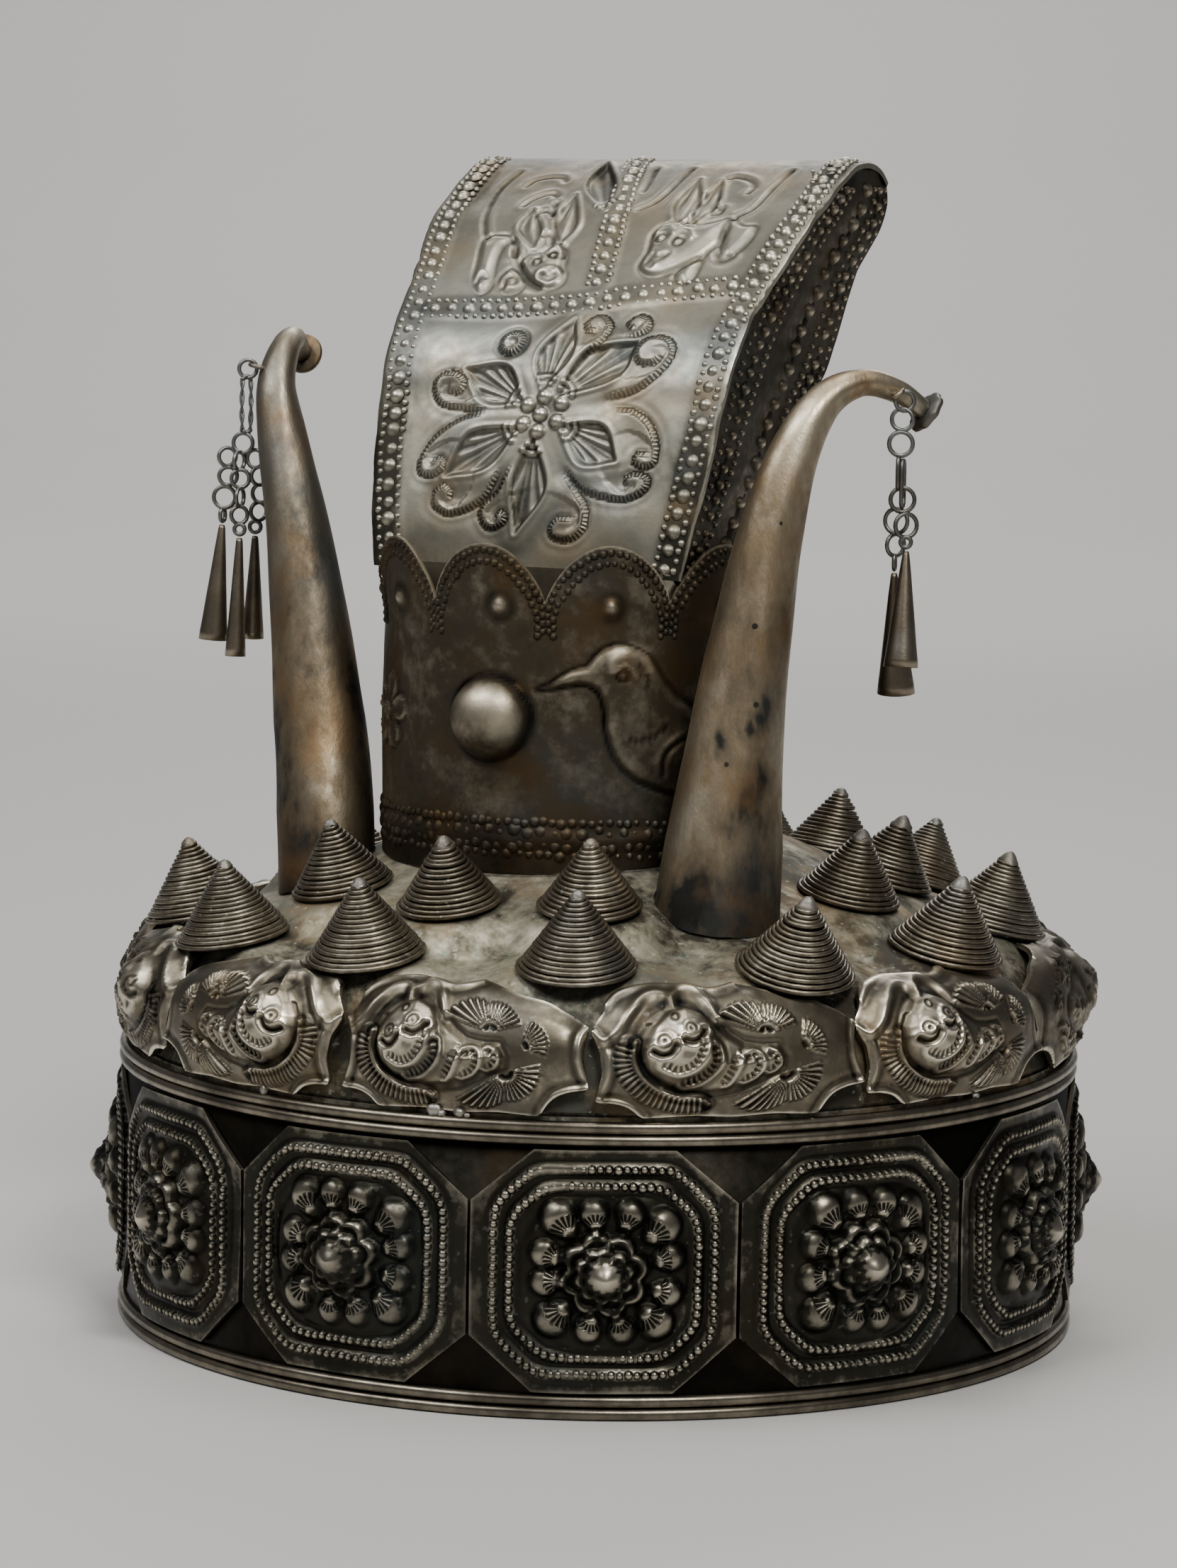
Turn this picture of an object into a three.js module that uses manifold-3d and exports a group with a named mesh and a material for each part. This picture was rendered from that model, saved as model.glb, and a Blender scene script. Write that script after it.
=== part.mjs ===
// Silver headdress: a drum-shaped band and domed cap that carry embossed plaques, spiral-wire
// cones, two hollow horns with hanging jingles, and a scalloped collar that holds a tall crest.
// Millimetres, +Z up. The origin is the centre of the bottom rim; the front faces -Y.
import * as THREE from 'three';
import { mergeVertices } from 'three/addons/utils/BufferGeometryUtils.js';
import Module from 'manifold-3d';

const wasm = await Module();
wasm.setup();

// ---- Driving dimensions ----

const GAP = 0.3; // clearance between neighbouring pieces
const RING_SEGMENTS = 48; // facets round the band, the cap and their plaques
const OCTAGONS = 12;
const FIRST_OCTAGON_DEG = 1; // azimuth of the middle of octagon_01

const BAND = { outer: 108.3, wall: 1.0, height: 63.4, topWall: 62.7 };
const RIM_WIRE = { radius: 1.3, ring: 108.7, pitch: 2.7 };
const CAP_WALL = 1.0;
const OCTAGON = { halfWidth: 27.85, low: 5.9, high: 57.5, cutAcross: 13.4, cutUp: 11.4, wall: 0.8 };
const SHOULDER = {
  low: 64.1, wall: 0.8, lift: 0.55, r: 103.5, z: 79, tiltDeg: 38, cutDepth: 15, innerRadius: 75, topRadius: 92,
};
const CONE = { wall: 1.3, tip: 1.2, sides: 16 };
const OUTER_CONE = { radius: 12.8, height: 18 };
const INNER_CONE = { radius: 11.4, height: 16.2 };
const CROWN = { x: -2.5, y: -8, turnDeg: 3 };
const COLLAR = {
  radius: 44.3, rimRadius: 46, wall: 0.9, valley: 166.5, apex: 179.5, scallops: 10, facets: 6,
  foot: 105, flare: 162, rim: 175,
};
const COLLAR_BOSS = { sides: 20, sunk: 1.6, azimuthDeg: 2, z: 141 };
const BOSS_ROWS = [
  { r: 0, z: 0 },
  { r: 9.3, z: 0 },
  { r: 8.2, z: 4.2 },
  { r: 4.8, z: 7.6 },
  { r: 0, z: 8.9 },
];
const CREST = { wall: 0.9, sideInset: 0.8, rolledRows: 2, endGap: 0.4 };
const HORN = { wall: 1.0, stations: 14, sides: 12, footStretch: 1.28, stretchLength: 35, solidRadius: 3.4 };
const FINIAL = { radius: 4.6, thick: 1.6, crown: 2.6 };
const CHAIN = { wire: 0.45, planeDeg: 30, wireSides: 5, facets: 10 };
const BELL = { wall: 0.5, tip: 0.8, solidLength: 3, sides: 12 };

// Outer surface of the cap, from its skirt inside the band to the crown.
const CAP_ROWS = [
  { r: 107.0, z: 56.0 },
  { r: 107.0, z: 63.5 },
  { r: 106.4, z: 72.0 },
  { r: 104.6, z: 79.0 },
  { r: 101.0, z: 84.8 },
  { r: 95.0, z: 88.4 },
  { r: 78.0, z: 93.6 },
  { r: 66.0, z: 99.7 },
  { r: 54.0, z: 105.5 },
  { r: 44.0, z: 109.8 },
  { r: 24.0, z: 114.0 },
  { r: 0.0, z: 115.6 },
];

// Raised rosette of an octagon: height of the relief, from its sunk foot to its pointed middle.
const ROSETTE = { sides: 12, sunk: 0.6 };
const ROSETTE_ROWS = [
  { r: 0, z: 0 },
  { r: 18.5, z: 0 },
  { r: 16.5, z: 1.6 },
  { r: 6.4, z: 2.5 },
  { r: 4.8, z: 4.2 },
  { r: 1.3, z: 5.5 },
  { r: 0, z: 6.2 },
];

// Half of the cusped outline of a fish plaque: across from its middle, up the slope of the shoulder.
const FISH_OUTLINE = [
  { across: 0, up: -15.4 },
  { across: 9, up: -14.2 },
  { across: 17, up: -15.2 },
  { across: 22.5, up: -10.5 },
  { across: 28.8, up: -9.5 },
  { across: 27, up: -2 },
  { across: 28.6, up: 3 },
  { across: 25, up: 9 },
  { across: 16, up: 13 },
  { across: 7, up: 12 },
];

// Where the middle of each fish plaque stands, and its width against the outline's.
const FISH_PLAQUES = [
  { azimuthDeg: 14.5, width: 0.9 },
  { azimuthDeg: 45.1, width: 0.97 },
  { azimuthDeg: 76.9, width: 0.97 },
  { azimuthDeg: 107.6, width: 0.91 },
  { azimuthDeg: 137.3, width: 0.91 },
  { azimuthDeg: 166.9, width: 0.91 },
  { azimuthDeg: 196.5, width: 0.91 },
  { azimuthDeg: 226.1, width: 0.91 },
  { azimuthDeg: 255.7, width: 0.91 },
  { azimuthDeg: 285.3, width: 0.91 },
  { azimuthDeg: 314.8, width: 0.91 },
  { azimuthDeg: 344.2, width: 0.92 },
];

// Height rows of the crest: front and back edges of its side view, and half its width.
const CREST_ROWS = [
  { z: 171.8, front: -27.3, back: 2.0, half: 38.6 },
  { z: 183, front: -25.3, back: 11.5, half: 40.5 },
  { z: 196, front: -21.7, back: 20.5, half: 42.4 },
  { z: 209.5, front: -17.2, back: 29.5, half: 43.4 },
  { z: 216, front: -15.0, back: 37.5, half: 43.9 },
  { z: 224, front: -10.5, back: 42.5, half: 44.3 },
  { z: 232, front: -3.0, back: 45.7, half: 45.3 },
  { z: 240, front: 4.7, back: 48.6, half: 46.6 },
  { z: 249, front: 14.0, back: 56.2, half: 48.6 },
  { z: 255, front: 22.8, back: 58.5, half: 49.3 },
  { z: 260, front: 30.5, back: 57.3, half: 49.4 },
  { z: 263.5, front: 38.0, back: 52.5, half: 49.5 },
];
const CREST_TOP = { y: 45.5, z: 264.6 };

// Where each spiral cone stands round the cap, how far from its axis, and how far it leans outwards.
const OUTER_CONES = [
  { azimuthDeg: -3.8, ring: 89.5, leanDeg: 11 },
  { azimuthDeg: 27, ring: 89.1, leanDeg: 11 },
  { azimuthDeg: 57, ring: 90, leanDeg: 25 },
  { azimuthDeg: 86.4, ring: 89, leanDeg: 22 },
  { azimuthDeg: 112, ring: 87.5, leanDeg: 22 },
  { azimuthDeg: 153, ring: 88.5, leanDeg: 26 },
  { azimuthDeg: 183, ring: 89, leanDeg: 15 },
  { azimuthDeg: 210, ring: 89, leanDeg: 19 },
  { azimuthDeg: 234, ring: 89, leanDeg: 16 },
  { azimuthDeg: 258, ring: 88, leanDeg: 17 },
  { azimuthDeg: 304, ring: 89.2, leanDeg: 19 },
  { azimuthDeg: 328.2, ring: 89.5, leanDeg: 18 },
];
const INNER_CONES = [
  { azimuthDeg: 0.7, ring: 64.9, leanDeg: 20 },
  { azimuthDeg: 28.1, ring: 64.9, leanDeg: 17 },
  { azimuthDeg: 86.8, ring: 64, leanDeg: 21 },
  { azimuthDeg: 115, ring: 63, leanDeg: 24 },
  { azimuthDeg: 154, ring: 63.5, leanDeg: 20 },
  { azimuthDeg: 190, ring: 65.5, leanDeg: 16 },
  { azimuthDeg: 216, ring: 65.5, leanDeg: 18 },
  { azimuthDeg: 246, ring: 64.5, leanDeg: 17 },
  { azimuthDeg: 276, ring: 65.5, leanDeg: 19 },
  { azimuthDeg: 330, ring: 64.3, leanDeg: 21 },
];

// Centre line of each horn, from its foot to its tip, with the radius of the tube there.
const HORN_RIGHT_ROWS = [
  { x: 50.3, y: -36.6, z: 99.5, radius: 11.4 },
  { x: 50.6, y: -34.6, z: 115, radius: 11.6 },
  { x: 51.2, y: -32.0, z: 135, radius: 10.9 },
  { x: 52.9, y: -28.2, z: 160, radius: 9.0 },
  { x: 55.0, y: -25.0, z: 181, radius: 7.4 },
  { x: 58.0, y: -21.2, z: 198, radius: 5.9 },
  { x: 62.6, y: -15.3, z: 211, radius: 4.3 },
  { x: 68.1, y: -8.3, z: 215.6, radius: 3.1 },
  { x: 73.3, y: -1.7, z: 214, radius: 2.8 },
  { x: 77.6, y: 3.8, z: 209.6, radius: 2.3 },
];
const HORN_LEFT_ROWS = [
  { x: -52.6, y: -34.6, z: 99.5, radius: 11.2 },
  { x: -54.4, y: -32.8, z: 115, radius: 11.3 },
  { x: -58.0, y: -30.2, z: 135, radius: 10.7 },
  { x: -63.0, y: -27.5, z: 160, radius: 9.0 },
  { x: -68.4, y: -25.2, z: 181, radius: 7.3 },
  { x: -74.0, y: -22.6, z: 199, radius: 5.9 },
  { x: -77.3, y: -20.4, z: 211, radius: 4.6 },
  { x: -78.8, y: -14.6, z: 219.6, radius: 3.5 },
  { x: -82.0, y: -6.0, z: 221.4, radius: 2.9 },
  { x: -85.4, y: 2.0, z: 218.2, radius: 2.4 },
];

// Links of each chain: side runs along the plane of the strands, depth across it; wide and tall
// are the half sizes of the link and turnDeg swings its plane about the vertical.
const CHAIN_RIGHT = { x: 77.2, y: -4.2 };
const LINKS_RIGHT = [
  { side: -0.3, depth: 0, z: 211.7, wide: 2.1, tall: 2.1, turnDeg: 12 },
  { side: -0.7, depth: 0, z: 207.7, wide: 2.35, tall: 2.35, turnDeg: -12 },
  { side: -0.9, depth: 0, z: 202.4, wide: 2.6, tall: 2.6, turnDeg: 0 },
  { side: -1.3, depth: -0.1, z: 195.9, wide: 1.3, tall: 3.4, turnDeg: 80 },
  { side: -0.3, depth: 0.1, z: 193.7, wide: 1.5, tall: 5.1, turnDeg: 76 },
  { side: -0.3, depth: -0.4, z: 190.2, wide: 2.65, tall: 2.65, turnDeg: 5 },
  { side: 0.6, depth: -0.7, z: 184.6, wide: 2.6, tall: 2.6, turnDeg: 22 },
  { side: -1.5, depth: 0.6, z: 185.5, wide: 2.7, tall: 2.7, turnDeg: -28 },
  { side: 0.6, depth: -1.0, z: 181.0, wide: 1.15, tall: 1.15, turnDeg: 0 },
  { side: -1.5, depth: 1.2, z: 180.2, wide: 2.4, tall: 2.4, turnDeg: 35 },
  { side: -1.6, depth: 1.6, z: 176.4, wide: 1.1, tall: 1.6, turnDeg: 80 },
];
const CHAIN_LEFT = { x: -84, y: -24.5 };
const LINKS_LEFT = [
  { side: 1.2, depth: 0, z: 214.7, wide: 2.05, tall: 2.05, turnDeg: 10 },
  { side: 0.9, depth: 0, z: 206.4, wide: 1.3, tall: 6.5, turnDeg: 40 },
  { side: 0.2, depth: 0, z: 197.5, wide: 2.3, tall: 2.3, turnDeg: -10 },
  { side: -3.4, depth: 0, z: 194.3, wide: 2.1, tall: 2.1, turnDeg: 25 },
  { side: -3.2, depth: 0, z: 189.8, wide: 2.1, tall: 2.1, turnDeg: 10 },
  { side: -4.0, depth: 0, z: 184.9, wide: 2.5, tall: 2.5, turnDeg: 0 },
  { side: -4.4, depth: 0, z: 180.7, wide: 1.0, tall: 1.4, turnDeg: 60 },
  { side: -0.6, depth: -0.4, z: 193.4, wide: 2.1, tall: 2.1, turnDeg: 60 },
  { side: -0.3, depth: -0.9, z: 189.3, wide: 2.1, tall: 2.1, turnDeg: 15 },
  { side: -0.3, depth: -1.3, z: 185.0, wide: 2.1, tall: 2.1, turnDeg: 70 },
  { side: -0.4, depth: -1.7, z: 180.9, wide: 2.0, tall: 2.0, turnDeg: 25 },
  { side: -0.3, depth: -2.0, z: 177.6, wide: 1.2, tall: 1.2, turnDeg: 0 },
  { side: 3.0, depth: 0.5, z: 193.9, wide: 2.1, tall: 2.1, turnDeg: -25 },
  { side: 4.0, depth: 1.0, z: 189.9, wide: 2.1, tall: 2.1, turnDeg: 30 },
  { side: 4.3, depth: 1.5, z: 185.8, wide: 2.1, tall: 2.1, turnDeg: -20 },
  { side: 3.8, depth: 2.0, z: 181.6, wide: 2.1, tall: 2.1, turnDeg: 35 },
  { side: 3.0, depth: 2.5, z: 178.0, wide: 1.3, tall: 1.3, turnDeg: 0 },
];

// Eye soldered on each horn: it holds the wire of the chain's first link, and its own axis is
// tilted by axisDeg in the plane of the strands.
const EYE_RIGHT = { side: -1.8, depth: 0.2, z: 213.1, radius: 1.45, axisDeg: 47 };
const EYE_LEFT = { side: 3.5, depth: 0.6, z: 215.2, radius: 1.9, axisDeg: 104 };

// Jingles: the tip hangs at side and depth in its chain's plane, and the open end leans away.
const BELLS = [
  { chain: CHAIN_RIGHT, side: 0.7, depth: -1.2, tip: 179.0, length: 25.2, radius: 3.9, leanSide: -1.6, leanDepth: -6 },
  { chain: CHAIN_RIGHT, side: -1.6, depth: 1.8, tip: 174.0, length: 26.7, radius: 4.2, leanSide: 2.6, leanDepth: 7 },
  { chain: CHAIN_LEFT, side: -4.5, depth: 0, tip: 178.5, length: 26.8, radius: 3.35, leanSide: -4.1, leanDepth: 0 },
  { chain: CHAIN_LEFT, side: -0.3, depth: -2.0, tip: 175.6, length: 27.5, radius: 2.4, leanSide: -1.5, leanDepth: -1 },
  { chain: CHAIN_LEFT, side: 3.0, depth: 2.5, tip: 175.9, length: 24.0, radius: 2.6, leanSide: -1.0, leanDepth: 2 },
];

// ---- Materials ----

const silver = (color, roughness) => new THREE.MeshStandardMaterial({ color, roughness, metalness: 0.9 });
const MATERIALS = {
  band: silver(0x4a4236, 0.5),
  octagon: silver(0x5c5141, 0.42),
  cap: silver(0x7c7767, 0.7),
  fish: silver(0x857a66, 0.4),
  cone: silver(0x6e6351, 0.48),
  horn: silver(0x8b7a62, 0.38),
  collar: silver(0x675d4f, 0.5),
  crest: silver(0xa39a88, 0.36),
  chain: silver(0x8a8272, 0.45),
  bell: silver(0x8d7f69, 0.42),
};

// ---- Geometry helpers ----

const rad = THREE.MathUtils.degToRad;

// A polar place about +Z: azimuth 0 is the front and grows towards +X.
function polar(radius, azimuthDeg, z) {
  const azimuth = rad(azimuthDeg);
  return new THREE.Vector3(radius * Math.sin(azimuth), -radius * Math.cos(azimuth), z);
}

// Keeps only the places of a geometry's vertices, joins the ones that coincide and drops the
// triangles that closed up.
function weld(geometry) {
  const plain = geometry.clone();
  plain.deleteAttribute('normal');
  plain.deleteAttribute('uv');
  const merged = mergeVertices(plain, 1e-4);
  const corners = Array.from(merged.index.array);
  const kept = [];
  for (let i = 0; i < corners.length; i += 3) {
    const triangle = corners.slice(i, i + 3);
    if (new Set(triangle).size === 3) kept.push(...triangle);
  }
  merged.setIndex(kept);
  return merged;
}

function toSolid(geometry) {
  const welded = weld(geometry);
  const vertProperties = new Float32Array(welded.attributes.position.array);
  const triVerts = new Uint32Array(welded.index.array);
  return new wasm.Manifold(new wasm.Mesh({ numProp: 3, vertProperties, triVerts }));
}

function toGeometry(solid) {
  const mesh = solid.getMesh();
  const geometry = new THREE.BufferGeometry();
  geometry.setAttribute('position', new THREE.BufferAttribute(new Float32Array(mesh.vertProperties), 3));
  geometry.setIndex(new THREE.BufferAttribute(new Uint32Array(mesh.triVerts), 1));
  return geometry;
}

function joined(geometries) {
  return toGeometry(geometries.map(toSolid).reduce((sum, solid) => sum.add(solid)));
}

// Turns a profile of { r, z } rows about +Z, facing out whichever way round the rows run.
function turned(rows, segments) {
  const points = rows.map(({ r, z }) => new THREE.Vector2(r, z));
  const outline = THREE.ShapeUtils.isClockWise(points) ? points.reverse() : points;
  return new THREE.LatheGeometry(outline, segments).rotateX(Math.PI / 2);
}

// The same rows moved sideways by a distance, to the right of their direction of travel.
function offsetRows(rows, distance, across, along) {
  return rows.map((row, i) => {
    const before = rows[Math.max(i - 1, 0)];
    const after = rows[Math.min(i + 1, rows.length - 1)];
    const dx = after[across] - before[across];
    const dz = after[along] - before[along];
    const length = Math.hypot(dx, dz);
    const moved = { ...row };
    moved[across] += (distance * dz) / length;
    moved[along] -= (distance * dx) / length;
    return moved;
  });
}

// Reads a column of a table by linear interpolation over a key column that only grows.
function lookUp(rows, key, column, value) {
  const last = rows.length - 1;
  if (value <= rows[0][key]) return rows[0][column];
  if (value >= rows[last][key]) return rows[last][column];
  const i = rows.findIndex((row) => row[key] > value) - 1;
  const t = (value - rows[i][key]) / (rows[i + 1][key] - rows[i][key]);
  return rows[i][column] + t * (rows[i + 1][column] - rows[i][column]);
}

const CAP_BY_RADIUS = CAP_ROWS.slice(1).sort((a, b) => a.r - b.r);
const capHeight = (radius) => lookUp(CAP_BY_RADIUS, 'r', 'z', radius);

// Moves every vertex of a geometry by a function that changes the given vector.
function reshape(geometry, change) {
  const position = geometry.attributes.position;
  const vertex = new THREE.Vector3();
  for (let i = 0; i < position.count; i += 1) {
    vertex.fromBufferAttribute(position, i);
    change(vertex);
    position.setXYZ(i, vertex.x, vertex.y, vertex.z);
  }
  return geometry;
}

function polygon(points) {
  return new THREE.Shape(points.map(([x, y]) => new THREE.Vector2(x, y)));
}

const group = new THREE.Group();

function addPiece(name, geometry, material, parent = group) {
  const piece = weld(geometry);
  piece.computeVertexNormals();
  const mesh = new THREE.Mesh(piece, material.clone());
  mesh.name = name;
  parent.add(mesh);
  return mesh;
}

const numbered = (name, i) => `${name}_${String(i + 1).padStart(2, '0')}`;

// ---- Band and cap ----

// Outer half of a rim wire's eight-sided section, from below to above.
function wireRows(z) {
  const half = RIM_WIRE.radius * Math.tan(Math.PI / 8);
  const { ring, radius } = RIM_WIRE;
  return [
    { r: ring + half, z: z - radius },
    { r: ring + radius, z: z - half },
    { r: ring + radius, z: z + half },
    { r: ring + half, z: z + radius },
  ];
}

function makeBand() {
  const { radius, pitch } = RIM_WIRE;
  const wireHeights = [radius, radius + pitch, BAND.height - radius - pitch, BAND.height - radius];
  const inner = BAND.outer - BAND.wall;
  const lowWires = wireHeights.slice(0, 2).flatMap(wireRows);
  const highWires = wireHeights.slice(2).flatMap(wireRows);
  const lowTop = lowWires[lowWires.length - 1].z;
  const outline = [
    { r: inner, z: 0 },
    ...lowWires,
    { r: BAND.outer, z: lowTop },
    { r: BAND.outer, z: highWires[0].z },
    ...highWires,
    { r: BAND.outer, z: BAND.height },
    { r: inner, z: BAND.topWall },
    { r: inner, z: 0 },
  ];
  return turned(outline, RING_SEGMENTS);
}

function makeCap() {
  const inner = offsetRows(CAP_ROWS, -CAP_WALL, 'r', 'z');
  inner[0].z = CAP_ROWS[0].z;
  inner[inner.length - 1].r = 0;
  return turned([...CAP_ROWS, ...inner.reverse(), CAP_ROWS[0]], RING_SEGMENTS);
}

// ---- Plaques ----

function makeOctagon() {
  const inner = BAND.outer + GAP;
  const { halfWidth, low, high, cutAcross, cutUp, wall } = OCTAGON;
  const outer = inner + wall;
  const shell = turned([
    { r: inner, z: low - wall },
    { r: outer, z: low - wall },
    { r: outer, z: high + wall },
    { r: inner, z: high + wall },
    { r: inner, z: low - wall },
  ], RING_SEGMENTS);
  const flat = halfWidth - cutAcross;
  const outline = polygon([
    [-flat, low],
    [flat, low],
    [halfWidth, low + cutUp],
    [halfWidth, high - cutUp],
    [flat, high],
    [-flat, high],
    [-halfWidth, high - cutUp],
    [-halfWidth, low + cutUp],
  ]);
  const cutter = new THREE.ExtrudeGeometry(outline, { depth: outer + wall, bevelEnabled: false });
  cutter.rotateX(Math.PI / 2);
  const plate = toSolid(shell).intersect(toSolid(cutter));
  const rosette = turned(ROSETTE_ROWS, ROSETTE.sides);
  rosette.rotateX(Math.PI / 2);
  rosette.translate(0, ROSETTE.sunk - outer, (low + high) / 2);
  return toGeometry(plate.add(toSolid(rosette)));
}

function makeFishPlaque(width) {
  const rows = CAP_ROWS.slice(1);
  rows[0] = { ...rows[0], z: SHOULDER.low };
  const inner = offsetRows(rows, SHOULDER.lift, 'r', 'z');
  const outer = offsetRows(rows, SHOULDER.lift + SHOULDER.wall, 'r', 'z');
  inner[0].z = SHOULDER.low;
  outer[0].z = SHOULDER.low;
  const kept = rows.filter(({ r }) => r > SHOULDER.innerRadius).length;
  const profile = [...outer.slice(0, kept), ...inner.slice(0, kept).reverse(), outer[0]];
  const half = FISH_OUTLINE.map(({ across, up }) => [across * width, up]);
  const mirrored = half.slice(1).map(([across, up]) => [-across, up]).reverse();
  const depth = 2 * SHOULDER.cutDepth;
  const cutter = new THREE.ExtrudeGeometry(polygon([...half, ...mirrored]), { depth, bevelEnabled: false });
  cutter.translate(0, 0, -SHOULDER.cutDepth);
  cutter.rotateX(Math.PI / 2 - rad(SHOULDER.tiltDeg));
  cutter.translate(0, -SHOULDER.r, SHOULDER.z);
  return toGeometry(toSolid(turned(profile, RING_SEGMENTS)).intersect(toSolid(cutter)));
}

// ---- Spiral cones ----

// A hollow cone open at its foot, standing at the origin.
function makeCone({ radius, height }) {
  const { wall, tip, sides } = CONE;
  return turned([
    { r: 0, z: height },
    { r: tip, z: height },
    { r: radius, z: 0 },
    { r: radius - wall, z: 0 },
    { r: 0, z: height - 3 * wall },
  ], sides);
}

// Height of whatever lies on the cap at a distance from its axis: the cap, or a plaque on it.
const PLAQUES_BY_RADIUS = offsetRows(CAP_ROWS.slice(1), SHOULDER.lift + SHOULDER.wall, 'r', 'z').reverse();
function coveredHeight(radius) {
  return radius < SHOULDER.topRadius ? capHeight(radius) : lookUp(PLAQUES_BY_RADIUS, 'r', 'z', radius);
}

// Height at which the leaning foot of a cone just clears what lies under it.
function seatHeight(radius, ring, leanDeg) {
  let seat = 0;
  for (let step = 0; step < CONE.sides; step += 1) {
    const rim = polar(radius, step * (360 / CONE.sides), 0);
    const across = ring - rim.y * Math.cos(rad(leanDeg));
    const drop = rim.y * Math.sin(rad(leanDeg));
    seat = Math.max(seat, coveredHeight(Math.hypot(across, rim.x)) - drop);
  }
  return seat + GAP;
}

function addCones(rows, name, size) {
  const cone = makeCone(size);
  rows.forEach(({ azimuthDeg, ring, leanDeg }, i) => {
    const piece = addPiece(numbered(name, i), cone, MATERIALS.cone);
    piece.rotation.set(rad(leanDeg), 0, rad(azimuthDeg), 'ZYX');
    piece.position.copy(polar(ring, azimuthDeg, seatHeight(size.radius, ring, leanDeg)));
  });
}

// ---- Collar ----

const crown = new THREE.Group();
crown.position.set(CROWN.x, CROWN.y, 0);
crown.rotation.z = rad(CROWN.turnDeg);
group.add(crown);

// Distance from the cap's axis of a place given in the crown's frame.
function radiusOnCap(x, y) {
  const place = new THREE.Vector2(x, y).rotateAround(new THREE.Vector2(), rad(CROWN.turnDeg));
  return Math.hypot(place.x + CROWN.x, place.y + CROWN.y);
}

// Height of the scalloped rim; a scallop is centred on the front.
function scallopHeight(azimuth) {
  const half = Math.PI / COLLAR.scallops;
  const across = THREE.MathUtils.euclideanModulo(azimuth + half, 2 * half) / half - 1;
  return COLLAR.valley + (COLLAR.apex - COLLAR.valley) * Math.max(0, 1 - across * across) ** 0.75;
}

function makeCollar() {
  const { radius, rimRadius, wall, foot, flare, rim } = COLLAR;
  const tube = turned([
    { r: radius, z: foot },
    { r: radius, z: flare },
    { r: rimRadius, z: rim },
    { r: rimRadius - wall, z: rim },
    { r: radius - wall, z: flare },
    { r: radius - wall, z: foot },
    { r: radius, z: foot },
  ], COLLAR.facets * COLLAR.scallops);
  reshape(tube, (v) => {
    const atFoot = Math.abs(v.z - foot) < GAP;
    const atRim = Math.abs(v.z - rim) < GAP;
    if (atFoot) v.z = capHeight(radiusOnCap(v.x, v.y)) + GAP;
    if (atRim) v.z = scallopHeight(Math.atan2(v.x, -v.y));
  });
  const boss = turned(BOSS_ROWS, COLLAR_BOSS.sides);
  boss.rotateX(Math.PI / 2);
  boss.translate(0, COLLAR_BOSS.sunk - radius, COLLAR_BOSS.z);
  boss.rotateZ(rad(COLLAR_BOSS.azimuthDeg));
  return joined([tube, boss]);
}

// ---- Crest ----

const CREST_FRONT = CREST_ROWS.map(({ z, front }) => ({ y: front, z }));
const CREST_BACK = CREST_ROWS.map(({ z, back }) => ({ y: back, z })).reverse();
const FRONT_SHEET = [...CREST_FRONT, CREST_TOP, ...CREST_BACK.slice(0, CREST.rolledRows)];

// Extrudes a side outline of { y, z } rows across the crest; left and right give its ends from
// half the width of the crest at each height.
function acrossCrest(rows, left, right) {
  const shape = new THREE.Shape(rows.map(({ y, z }) => new THREE.Vector2(y, z)));
  const slab = new THREE.ExtrudeGeometry(shape, { depth: 1, bevelEnabled: false });
  return reshape(slab, (v) => {
    const end = v.z < 0.5 ? left : right;
    v.set(end(lookUp(CREST_ROWS, 'z', 'half', v.y)), v.x, v.y);
  });
}

function sheetOf(rows) {
  return [...rows, ...offsetRows(rows, CREST.wall, 'y', 'z').reverse()];
}

function makeCrestFront() {
  return acrossCrest(sheetOf(FRONT_SHEET), (half) => -half, (half) => half);
}

// The back sheet starts where the rolled front sheet ends.
function backSheetRows() {
  const [end, ...rest] = CREST_BACK.slice(CREST.rolledRows - 1);
  const start = new THREE.Vector2(rest[0].y - end.y, rest[0].z - end.z).setLength(GAP + CREST.endGap);
  return [{ y: end.y + start.x, z: end.z + start.y }, ...rest];
}

function makeCrestBack() {
  const { wall, sideInset } = CREST;
  const backRows = backSheetRows();
  const underFront = offsetRows(FRONT_SHEET, wall + GAP, 'y', 'z');
  const panel = [...underFront, ...backRows];
  const outside = (half) => half - sideInset;
  const inside = (half) => half - sideInset - wall;
  return joined([
    acrossCrest(panel, (half) => -outside(half), (half) => -inside(half)),
    acrossCrest(panel, inside, outside),
    acrossCrest(sheetOf(backRows), (half) => -outside(half), outside),
  ]);
}

// ---- Horns ----

// Places and cross directions along a curve, carried up from the foot without twisting.
function framesAlong(curve, firstNormal, steps) {
  const normal = firstNormal.clone();
  return Array.from({ length: steps + 1 }, (_, i) => {
    const tangent = curve.getTangentAt(i / steps);
    normal.addScaledVector(tangent, -normal.dot(tangent)).normalize();
    return {
      place: curve.getPointAt(i / steps),
      tangent,
      normal: normal.clone(),
      binormal: tangent.clone().cross(normal),
    };
  });
}

// A place in the hanging plane of a chain: side along it, depth across it, away from the front.
function inPlane({ x, y }, side, depth, z) {
  return new THREE.Vector3(side, depth, z)
    .applyAxisAngle(new THREE.Vector3(0, 0, 1), rad(CHAIN.planeDeg))
    .add(new THREE.Vector3(x, y, 0));
}

function makeEye(chain, { side, depth, z, radius, axisDeg }) {
  const eye = new THREE.TorusGeometry(radius, CHAIN.wire, CHAIN.wireSides, CHAIN.facets);
  eye.rotateY(Math.PI / 2 - rad(axisDeg));
  eye.rotateZ(rad(CHAIN.planeDeg));
  const place = inPlane(chain, side, depth, z);
  return eye.translate(place.x, place.y, place.z);
}

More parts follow.
